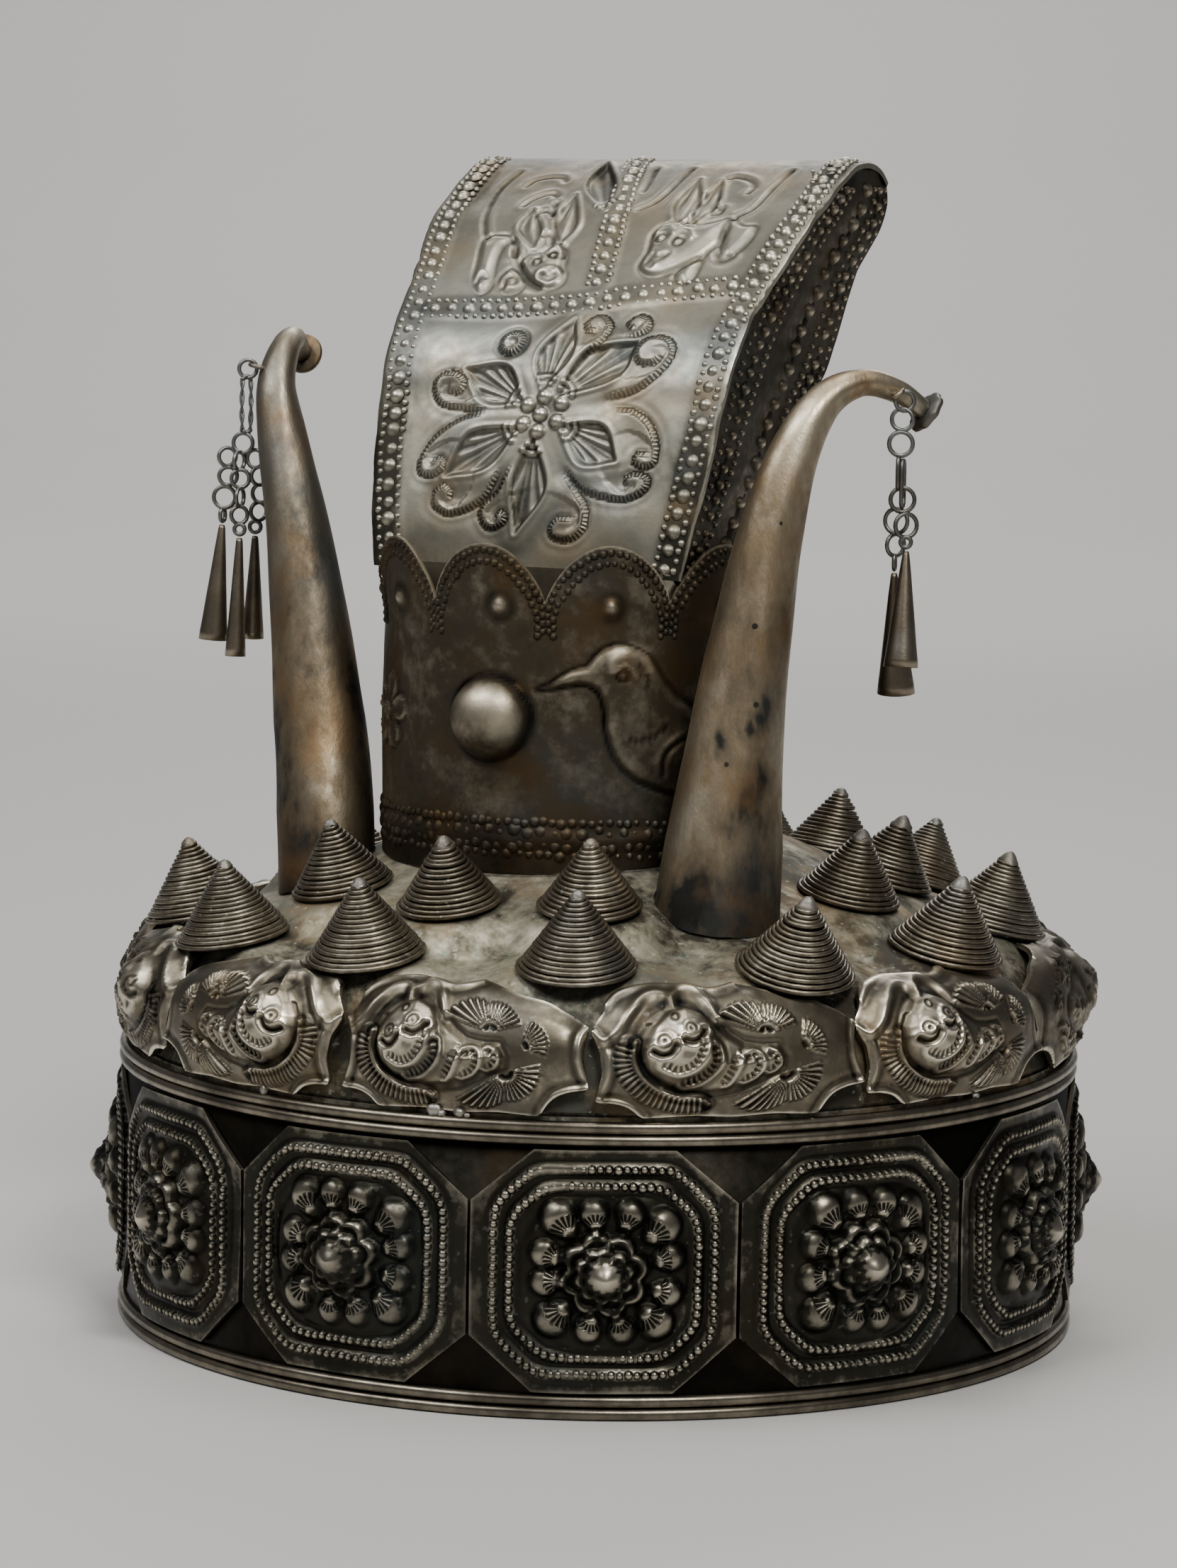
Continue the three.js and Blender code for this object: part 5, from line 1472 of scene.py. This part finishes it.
def make_crest_back(material):
    rng = np.random.default_rng(43)
    parts = Parts()
    z = np.linspace(CREST_Z[0] + 0.4, 262.6, 64)
    front, back = np.interp(z, CREST_Z, CREST_FRONT) + 1.5, np.interp(z, CREST_Z, CREST_BACK)
    half = np.interp(z, CREST_Z, CREST_HALF) - 0.85
    p = np.linspace(0, 1, 34)
    for side in (-1, 1):
        pz, pp = np.repeat(z, len(p)), np.tile(p, len(z))
        y = np.repeat(front, len(p)) * (1 - pp) + np.repeat(back, len(p)) * pp
        dent = 0.18 * np.sin(pz * 0.31 + side) * np.sin(pp * 9)
        points = np.stack([side * (np.repeat(half, len(p)) + dent), y, pz], -1)
        quads = grid_quads(len(z), len(p))
        quads = quads if side < 0 else quads[:, ::-1]
        parts.add(to_crown(points), quads[:, ::-1], wear=0.32 + 0.20 * hump(pp - 0.52, 0.13))
        inner = points.copy()
        inner[:, 0] -= side * 1.0
        parts.add(to_crown(inner), quads, wear=0.15)

        rows = np.linspace(CREST_Z[0] + 3, 258.0, 80)
        f, b = np.interp(rows, z, front), np.interp(rows, z, back)
        for part_way, pitch, size in SIDE_ROWS:
            line = np.stack([f + part_way * (b - f), rows], -1)
            spots = evenly(line, pitch)
            spots = spots + rng.normal(0, 0.16, spots.shape)
            side_beads(parts, spots, side, z, half, size * rng.uniform(0.8, 1.15, len(spots)), 0.9, 0.80)
            if size > 1:
                pits = evenly(line, pitch)[1:] - [(0.9, pitch / 2)]
                pits = pits + rng.normal(0, 0.25, pits.shape)
                side_beads(parts, pits, side, z, half, 0.75 * size * rng.uniform(0.5, 1.1, len(pits)),
                           0.12, 0.0)
    rows = [(y, z) for y, z in zip(CREST_BACK, CREST_Z)][:-1]
    line = smooth_curve(rows, 6)
    u = np.linspace(-1, 1, 44)
    h = np.interp(line[:, 1], CREST_Z, CREST_HALF) - 0.9
    out = outward(line)
    for depth, flip, shade in ((0.0, True, 0.42), (-0.9, False, 0.2)):
        uu, ii = np.tile(u, len(line)), np.repeat(np.arange(len(line)), len(u))
        ripple = 0.25 * np.sin(uu * 5 + ii * 0.12) * np.cos(ii * 0.19) * (1 - uu**4) - 0.2 * (1 - uu**4)
        points = np.column_stack([uu * h[ii], line[ii] + out[ii] * (depth + ripple)[:, None]])
        quads = grid_quads(len(line), len(u))
        parts.add(to_crown(points), quads[:, ::-1] if flip else quads, wear=shade)
    parts.build("crest_sides_and_back", material, ["crest_back"])


def side_beads(parts, spots, side, levels, half, radius, lift, wear):
    """Beads on a crest side: spots are depth and height; the half width is read at each height."""
    def place(pu, pv, ph):
        return to_crown(np.stack([side * (np.interp(pv, levels, half) + ph), pu, pv], -1))

    beads(parts, spots, place, radius, lift=lift, wear=wear, sides=7)


# ---------------------------------------------------------------- horns

def horn_frames(rows, steps):
    line = smooth_curve([row[:3] for row in rows], steps)
    length = length_along(line)
    knots = np.linspace(0, len(line) - 1, len(rows))
    radius = np.interp(np.arange(len(line)), knots, [row[3] for row in rows])
    tangent = unit(np.gradient(line, axis=0))
    normals = carry(unit(np.array([-rows[0][1], rows[0][0], 0.0])), tangent)
    return line, length, radius, tangent, normals, np.cross(tangent, normals)


HORN_STAINS = [  # length up the horn, direction in degrees, size and strength
    (26.0, 268, 4.5, 0.45), (20.0, 250, 3.5, 0.40), (31.0, 282, 3.0, 0.35), (9.0, 276, 6.0, 0.3),
    (62.0, 305, 7.0, 0.25), (40.0, 60, 5.0, 0.35), (70.0, 90, 6.0, 0.25), (24.0, 150, 5.0, 0.35),
    (4.0, 215, 5.5, 0.30), (2.5, 248, 4.5, 0.22), (8.0, 232, 3.0, 0.20), (2.5, 280, 4.0, 0.15),
    (44.0, 272, 2.6, 0.5), (40.5, 262, 1.8, 0.5), (47.5, 281, 1.8, 0.45), (38.0, 225, 2.2, 0.45),
]
PIN_HOLES = {  # length up the horn, direction in degrees and size
    "horn_right": [(63.7, 247, 0.55), (46.9, 264, 0.55), (33.3, 238, 0.42), (86.0, 259, 0.28)],
    "horn_left": [(48.0, 60, 0.45)],
}


BUTTON_SIZE = 4.8
BUTTON_RINGS = [  # part of the size, height along the horn's end and shade
    (0.5, -0.2, 0.15), (0.92, 0.0, 0.25), (1.0, 0.35, 0.42), (1.0, 1.2, 0.45), (0.9, 1.65, 0.45),
    (0.72, 1.85, 0.3), (0.50, 2.05, 0.4), (0.42, 2.05, 0.2), (0.30, 2.45, 0.4), (0.02, 2.6, 0.55),
]


def make_horn(name, material, flowered):
    rows = HORN_ROWS[name]
    line, length, radius, tangent, normal, binormal = horn_frames(rows, 9)
    sides = 40
    angle = np.linspace(0, 2 * np.pi, sides, endpoint=False)
    stretch = 1 + 0.28 * np.clip(1 - length / 35.0, 0, 1)
    i, j = np.repeat(np.arange(len(line)), sides), np.tile(np.arange(sides), len(line))
    dent = 0.10 * np.sin(3 * angle[j] + length[i] * 0.11) + 0.07 * np.sin(5 * angle[j] - length[i] * 0.23)
    local = radius[i] - 0.12 + dent * ease(length[i] / 20.0)
    points = ring_about(line[i], local, angle[j], stretch[i][:, None] * normal[i], binormal[i])
    foot = i == 0
    reach = np.hypot(points[foot, 0], points[foot, 1])
    points[foot, 2] = dome_height(reach) + 0.35 + 0.5 * np.sin(3 * angle + 1) ** 2 * np.sin(8 * angle) ** 2
    wear = (0.57 if flowered else 0.40) + 0.12 * np.sin(angle[j] * 2 + length[i] * 0.05)
    # Darker near the foot with a stain; from the bend to the tip the horn is brighter, as a painted
    # highlight.
    wear = wear - 0.32 * ease((16 - length[i]) / 14) + 0.22 * ease((length[i] - length[-1] * 0.6) / 20)
    for reach, degrees, size, dark in HORN_STAINS:
        swing = (np.degrees(angle[j]) - degrees + 180) % 360 - 180
        gap = np.hypot(length[i] - reach, np.radians(swing) * radius[i] * 1.6)
        wear = wear - dark * hump(gap, size)
    parts = Parts()
    parts.add(points, grid_quads(len(line), sides, wrap=True)[:, ::-1], wear=np.clip(wear, 0, 1))
    for reach, degrees, size in PIN_HOLES[name]:
        at = np.argmin(np.abs(length - reach))
        out = math.cos(math.radians(degrees)) * normal[at] + math.sin(math.radians(degrees)) * binormal[at]
        middle = line[at] + (radius[at] + 0.02) * out
        across = np.cross(out, tangent[at])

        def place(pu, pv, ph):
            return middle + pu[:, None] * across + pv[:, None] * tangent[at] + 0.1 * ph[:, None] * out

        beads(parts, [(0.0, 0.0)], place, size, wear=0.0, sides=10)
    rings = []
    for out, up, _ in BUTTON_RINGS:
        wave = 1 + (0.05 * np.cos(8 * angle) if flowered and out > 0.6 else 0.02 * np.sin(3 * angle))
        middle = line[-1] + up * tangent[-1]
        rings.append(ring_about(middle, out * BUTTON_SIZE * wave, angle, normal[-1], binormal[-1]))
    count = len(rings)
    strokes = np.zeros(count * sides)
    strokes[4 * sides: 7 * sides] = 0.9 if flowered else 0.3
    shades = np.repeat([shade for _, _, shade in BUTTON_RINGS], sides)
    parts.add(np.vstack(rings), grid_quads(count, sides, wrap=True)[:, ::-1], wear=shades,
              phase=np.tile(angle * 16, count), strokes=strokes)
    chain, side, depth, z, ring, axis = EYES_OF_HORNS[name]
    ring_path(parts, chain, side, depth, z, ring, ring, 0.0, axis=axis)
    parts.build(f"{name}_tube", material, [name])


# ---------------------------------------------------------------- chains and bells

CHAIN_PLACES = {"right": (77.2, -4.2), "left": (-84.0, -24.5)}
LINKS = {  # side, depth, height, half width, half height, turn
    "right": [
        (-0.3, 0, 211.7, 2.1, 2.1, 12), (-0.7, 0, 207.7, 2.35, 2.35, -12),
        (-0.9, 0, 202.4, 2.6, 2.6, 0), (-1.3, -0.1, 195.9, 1.3, 3.4, 80),
        (-0.3, 0.1, 193.7, 1.5, 5.1, 76), (-0.3, -0.4, 190.2, 2.65, 2.65, 5),
        (0.6, -0.7, 184.6, 2.6, 2.6, 22), (-1.5, 0.6, 185.5, 2.7, 2.7, -28),
        (0.6, -1.0, 181.0, 1.15, 1.15, 0), (-1.5, 1.2, 180.2, 2.4, 2.4, 35),
        (-1.6, 1.6, 176.4, 1.1, 1.6, 80),
    ],
    "left": [
        (1.2, 0, 214.7, 2.05, 2.05, 10), (0.9, 0, 206.4, 1.3, 6.5, 40), (0.2, 0, 197.5, 2.3, 2.3, -10),
        (-3.4, 0, 194.3, 2.1, 2.1, 25), (-3.2, 0, 189.8, 2.1, 2.1, 10), (-4.0, 0, 184.9, 2.5, 2.5, 0),
        (-4.4, 0, 180.7, 1.0, 1.4, 60), (-0.6, -0.4, 193.4, 2.1, 2.1, 60),
        (-0.3, -0.9, 189.3, 2.1, 2.1, 15), (-0.3, -1.3, 185.0, 2.1, 2.1, 70),
        (-0.4, -1.7, 180.9, 2.0, 2.0, 25), (-0.3, -2.0, 177.6, 1.2, 1.2, 0),
        (3.0, 0.5, 193.9, 2.1, 2.1, -25), (4.0, 1.0, 189.9, 2.1, 2.1, 30),
        (4.3, 1.5, 185.8, 2.1, 2.1, -20), (3.8, 2.0, 181.6, 2.1, 2.1, 35),
        (3.0, 2.5, 178.0, 1.3, 1.3, 0),
    ],
}
EYES_OF_HORNS = {  # chain, side, depth, height, radius and direction of the eye at a horn's tip
    "horn_right": ("right", -1.8, 0.2, 213.1, 1.45, 47),
    "horn_left": ("left", 3.5, 0.6, 215.2, 1.9, 104),
}


def in_plane(chain, side, depth, z):
    x, y = CHAIN_PLACES[chain]
    a = math.radians(CHAIN["plane"])
    return np.array([x + side * math.cos(a) - depth * math.sin(a),
                     y + side * math.sin(a) + depth * math.cos(a), z])


def ring_path(parts, chain, side, depth, z, wide, tall, turn, axis=0.0, twisted=False):
    """One link: a round or long ring, upright in the chain's plane and turned about the vertical."""
    steps = 96 if twisted else 22
    t = np.linspace(0, 2 * np.pi, steps, endpoint=False)
    across, up = wide * np.cos(t), wide * np.sin(t)
    up = up + (tall - wide) * np.clip(2 * np.sin(t), -1, 1)
    depths = 0 * t
    if axis:
        a = math.radians(axis)
        across, depths = across * math.cos(a), across * math.sin(a)
        flat = np.stack([up * math.sin(a), wide * np.cos(t), up * math.cos(a)], -1)
    else:
        flat = np.stack([across, depths, up], -1)
    flat = turn_about_z(flat, CHAIN["plane"] + turn)
    path = in_plane(chain, side, depth, z) + flat
    if not twisted:
        sweep(parts, path, CHAIN["wire"], sides=8, closed=True, wear=0.6)
        return
    normal, binormal = frames_along(np.vstack([path, path[:2]]))
    normal, binormal = normal[:steps], binormal[:steps]
    for start in (0, np.pi):
        spin = t * 9 + start
        sweep(parts, ring_about(path, 0.34, spin, normal, binormal), CHAIN["wire"] * 0.62, sides=6,
              closed=True, wear=0.62)


def make_chain(name, material):
    parts = Parts()
    for number, (side, depth, z, wide, tall, turn) in enumerate(LINKS[name]):
        twisted = name == "left" and number == 1
        ring_path(parts, name, side, depth, z, wide, tall, turn, twisted=twisted)
    parts.build(f"chain_{name}_links", material, [f"chain_{name}"])


BELL_RINGS = [  # part of the length, and radius as a share of the mouth's plus a little; outside, then inside
    (0.0, 0.0, 0.02), (0.0, 0.0, 0.6), (0.03, 0.0, 0.8), (0.2, 0.2, 0.62), (0.4, 0.4, 0.45),
    (0.6, 0.6, 0.3), (0.8, 0.8, 0.14), (0.93, 0.95, 0.0), (1.0, 1.0, 0.0), (1.0, 1.0, -0.45),
    (0.9, 0.88, -0.3), (0.5, 0.4, 0.0), (0.15, 0.0, 0.1),
]


def make_bells(material):
    for k in range(5):
        rng = np.random.default_rng(700 + k)
        name = f"bell_{k + 1:02d}"
        ring, tip, reach = ends_of(name, 1.2)
        mouth = ring.mean(axis=0)
        size = np.linalg.norm(ring - mouth, axis=1).max()
        down = unit(mouth - tip)
        length = reach * 0.995
        side = unit(np.cross(down, [0.0, 1.0, 0.0]))
        other = np.cross(down, side)
        count = 28
        angle = np.linspace(0, 2 * np.pi, count, endpoint=False)
        rings, shades = [], []
        for part_way, share, more in BELL_RINGS:
            dent = 1 + 0.02 * np.sin(2 * angle + k) + rng.normal(0, 0.004, count)
            middle = tip + part_way * length * down
            rings.append(ring_about(middle, (share * size + more) * dent, angle, side, other))
            shades.append(np.full(count, 0.75 if part_way == 1.0 else 0.52))
        parts = Parts()
        parts.add(np.vstack(rings), grid_quads(len(rings), count, wrap=True), wear=np.concatenate(shades))
        parts.build(f"jingle_{name}", material, [name])


# ---------------------------------------------------------------- solder

def solder_lumps(name, material, rows):
    """Frozen lumps of solder: centre, size along x, y and z, turn and seed of each."""
    parts = Parts()
    around, over = 14, 8
    a = np.linspace(0, 2 * np.pi, around, endpoint=False)
    p = np.linspace(0.12, np.pi - 0.12, over)
    for centre, size, turn, seed in rows:
        rng = np.random.default_rng(seed)
        aa, pp = np.tile(a, over), np.repeat(p, around)
        bumps = 1 + 0.16 * np.sin(3 * aa + rng.uniform(0, 6)) * np.sin(pp)
        bumps = bumps + 0.10 * np.sin(2 * pp + 5 * aa + rng.uniform(0, 6))
        ball = np.stack([np.sin(pp) * np.cos(aa), np.sin(pp) * np.sin(aa), np.cos(pp)], -1)
        points = turn_about_z(ball * np.asarray(size) * bumps[:, None], turn) + np.asarray(centre)
        parts.add(points, grid_quads(over, around, wrap=True)[:, ::-1], wear=0.6)
    parts.build(name, material)


RIM_SOLDER = [  # azimuth, height, half sizes along the rim, out and up
    (11.7, 64.4, 1.5, 0.9, 1.3), (12.6, 63.8, 0.9, 0.8, 0.7), (14.7, 64.2, 1.3, 0.9, 1.0),
    (15.6, 63.7, 0.7, 0.6, 0.5), (-10.8, 64.2, 1.1, 0.8, 1.2), (78.5, 63.8, 1.1, 0.7, 0.6),
    (118.0, 63.7, 1.4, 0.8, 0.7), (151.0, 63.6, 1.1, 0.7, 0.6), (186.0, 63.7, 1.4, 0.8, 0.7),
    (221.0, 63.6, 1.2, 0.7, 0.6), (262.0, 63.7, 1.3, 0.8, 0.6), (300.0, 63.7, 1.3, 0.8, 0.6),
]


def rim_solder_rows():
    rows = []
    for number, (azimuth, z, along, out, up) in enumerate(RIM_SOLDER):
        a = math.radians(azimuth)
        rows.append((about_axis(108.9, a, z), (along, out, up), azimuth, 800 + number))
    return rows


CREST_SOLDER = [  # across and up the front sheet, half size
    (44.0, 117.0, 0.9), (45.5, 113.5, 1.2), (43.0, 109.0, 0.7), (46.5, 106.0, 1.1), (44.4, 101.0, 1.3),
    (46.6, 97.5, 0.9), (45.4, 93.0, 0.6), (41.0, 113.0, 0.6),
]


def crest_solder_rows():
    rows = []
    for number, (u, s, size) in enumerate(CREST_SOLDER):
        centre = crest_place(np.array([u]), np.array([s]), np.array([0.5]))[0]
        rows.append((centre, (size, 0.8 * size, 0.6 * size), 20.0 * number, 840 + number))
    return rows


# ---------------------------------------------------------------- assembly

make_camera()

silver_front = aged_silver("crest_aged_silver", (0.68, 0.645, 0.525), (0.30, 0.281, 0.222),
                           (0.038, 0.036, 0.028), polish=0.30, dull=0.52, mottle=0.6,
                           patch=(0.19, 0.215, 0.215), patchy=0.45, warmth=0.4)
silver_collar = aged_silver("collar_aged_silver", (0.54, 0.475, 0.36), (0.078, 0.064, 0.044),
                            (0.0065, 0.0055, 0.0045), polish=0.42, dull=0.58, mottle=0.5,
                            patch=(0.060, 0.068, 0.066), patchy=0.6, warmth=0.85, grain=0.9)
silver_side = aged_silver("crest_side_silver", (0.54, 0.47, 0.36), (0.090, 0.076, 0.054),
                          (0.006, 0.006, 0.005), polish=0.28, dull=0.55, mottle=0.8,
                          patch=(0.085, 0.097, 0.095))
silver_band = aged_silver("band_dark_silver", (0.60, 0.52, 0.40), (0.024, 0.021, 0.0155),
                          (0.003, 0.003, 0.0023), polish=0.22, dull=0.45, mottle=0.35,
                          patch=(0.020, 0.023, 0.022))
silver_octagon = aged_silver("octagon_dark_silver", (0.74, 0.67, 0.53), (0.032, 0.030, 0.023),
                             (0.004, 0.004, 0.003), polish=0.24, dull=0.48, mottle=0.4,
                             patch=(0.030, 0.037, 0.037), chips=0.08)
silver_plaque = aged_silver("plaque_silver", (0.84, 0.765, 0.61), (0.165, 0.144, 0.106),
                            (0.0065, 0.006, 0.0045), polish=0.23, dull=0.5, mottle=0.5,
                            patch=(0.11, 0.123, 0.123), patchy=0.4, chips=0.1)
silver_cap = aged_silver("cap_dull_silver", (0.56, 0.525, 0.41), (0.265, 0.245, 0.18),
                         (0.050, 0.044, 0.032), polish=0.46, dull=0.70, mottle=1.7,
                         patch=(0.14, 0.15, 0.125), patchy=0.75, verdigris=0.6, chips=0.35, metal=0.8,
                         grain=1.2, warmth=0.7, blotches=150.0)
silver_wire = aged_silver("spiral_wire_silver", (0.60, 0.545, 0.43), (0.145, 0.125, 0.092),
                          (0.013, 0.011, 0.009), polish=0.30, dull=0.52, mottle=0.7,
                          patch=(0.12, 0.132, 0.132), patchy=0.4, chips=0.35)
silver_horn = aged_silver("horn_bronzed_silver", (0.54, 0.465, 0.345), (0.225, 0.177, 0.115),
                          (0.032, 0.031, 0.028), polish=0.38, dull=0.60, mottle=1.1,
                          patch=(0.14, 0.15, 0.145), patchy=0.6, grain=1.6, warmth=0.6, blotches=110.0,
                          stretch=(1.0, 1.0, 0.5))
silver_chain = aged_silver("chain_silver", (0.36, 0.35, 0.32), (0.10, 0.098, 0.090), (0.02, 0.019, 0.018),
                           polish=0.35, dull=0.55, mottle=0.5)
silver_bell = aged_silver("bell_silver", (0.42, 0.36, 0.27), (0.16, 0.134, 0.100), (0.035, 0.030, 0.023),
                          polish=0.33, dull=0.5, mottle=0.6, patchy=0.4, grain=1.0)
solder = aged_silver("grey_solder", (0.50, 0.48, 0.43), (0.26, 0.245, 0.21), (0.06, 0.056, 0.047),
                     polish=0.34, dull=0.6, mottle=0.9, patchy=0.2, metal=0.85, grain=2.0)

make_band(silver_band)
make_cap(silver_cap)
make_octagons(silver_octagon)
make_fish_plaques(silver_plaque)
make_cones(silver_wire, solder)
make_collar(silver_collar)
make_crest_front(silver_front)
make_crest_back(silver_side)
make_horn("horn_right", silver_horn, flowered=True)
make_horn("horn_left", silver_horn, flowered=False)
make_chain("right", silver_chain)
make_chain("left", silver_chain)
make_bells(silver_bell)
solder_lumps("rim_solder", solder, rim_solder_rows())
solder_lumps("crest_solder", solder, crest_solder_rows())

# ---------------------------------------------------------------- floor and light

paper = bpy.data.materials.new("pale_paper")
paper.use_nodes = True
paper.node_tree.nodes["Principled BSDF"].inputs["Base Color"].default_value = (0.50, 0.49, 0.47, 1.0)
paper.node_tree.nodes["Principled BSDF"].inputs["Roughness"].default_value = 0.9

BACKDROP = [  # distance behind the headdress and height, in metres
    (2.3, -0.004), (2.9, 0.012), (3.2, 0.06), (3.45, 0.17), (3.65, 0.34), (3.78, 0.58), (3.84, 0.90),
    (3.86, 1.35),
]


def paper_sheet(name, corners, faces):
    mesh = bpy.data.meshes.new(name)
    mesh.from_pydata(corners, [], faces)
    mesh.materials.append(paper)
    return add_object(name, mesh)


floor = paper_sheet("floor", [(-4, -4, 0), (4, -4, 0), (4, 4, 0), (-4, 4, 0)], [(0, 1, 2, 3)])
away = Vector((-0.503, 0.864, 0.0))
aside = Vector((0.864, 0.503, 0.0))
corners = [tuple(away * d + aside * w + Vector((0, 0, z))) for d, z in BACKDROP for w in (-1.5, 1.5)]
strips = [(2 * i, 2 * i + 1, 2 * i + 3, 2 * i + 2) for i in range(len(BACKDROP) - 1)]
backdrop = paper_sheet("backdrop", corners, strips)
backdrop.data.polygons.foreach_set("use_smooth", [True] * len(strips))

world = bpy.data.worlds.new("studio")
bpy.context.scene.world = world
world.use_nodes = True
world.node_tree.nodes["Background"].inputs["Color"].default_value = (0.62, 0.63, 0.65, 1.0)
world.node_tree.nodes["Background"].inputs["Strength"].default_value = 0.20

LIGHTS = [  # name, place, target, size, power and colour
    ("key", (0.72, -0.62, 1.15), (0.0, -0.02, 0.13), (0.36, 0.36), 13.0, (1.0, 0.985, 0.95)),
    ("bank", (-0.45, -0.85, 1.25), (0.0, -0.02, 0.14), (1.10, 0.55), 13.5, (0.98, 0.99, 1.0)),
    ("top", (0.05, 0.10, 1.55), (0.0, 0.0, 0.15), (0.70, 0.70), 6.5, (1.0, 0.99, 0.97)),
    ("back", (-0.30, 0.95, 0.90), (0.0, 0.0, 0.15), (0.60, 0.40), 3.0, (1.0, 0.98, 0.95)),
    ("far_floor", (-1.20, 2.05, 2.0), (-1.60, 2.75, 0.15), (2.0, 2.0), 60.0, (0.99, 0.99, 1.0)),
]
for light in LIGHTS:
    area_light(*light)
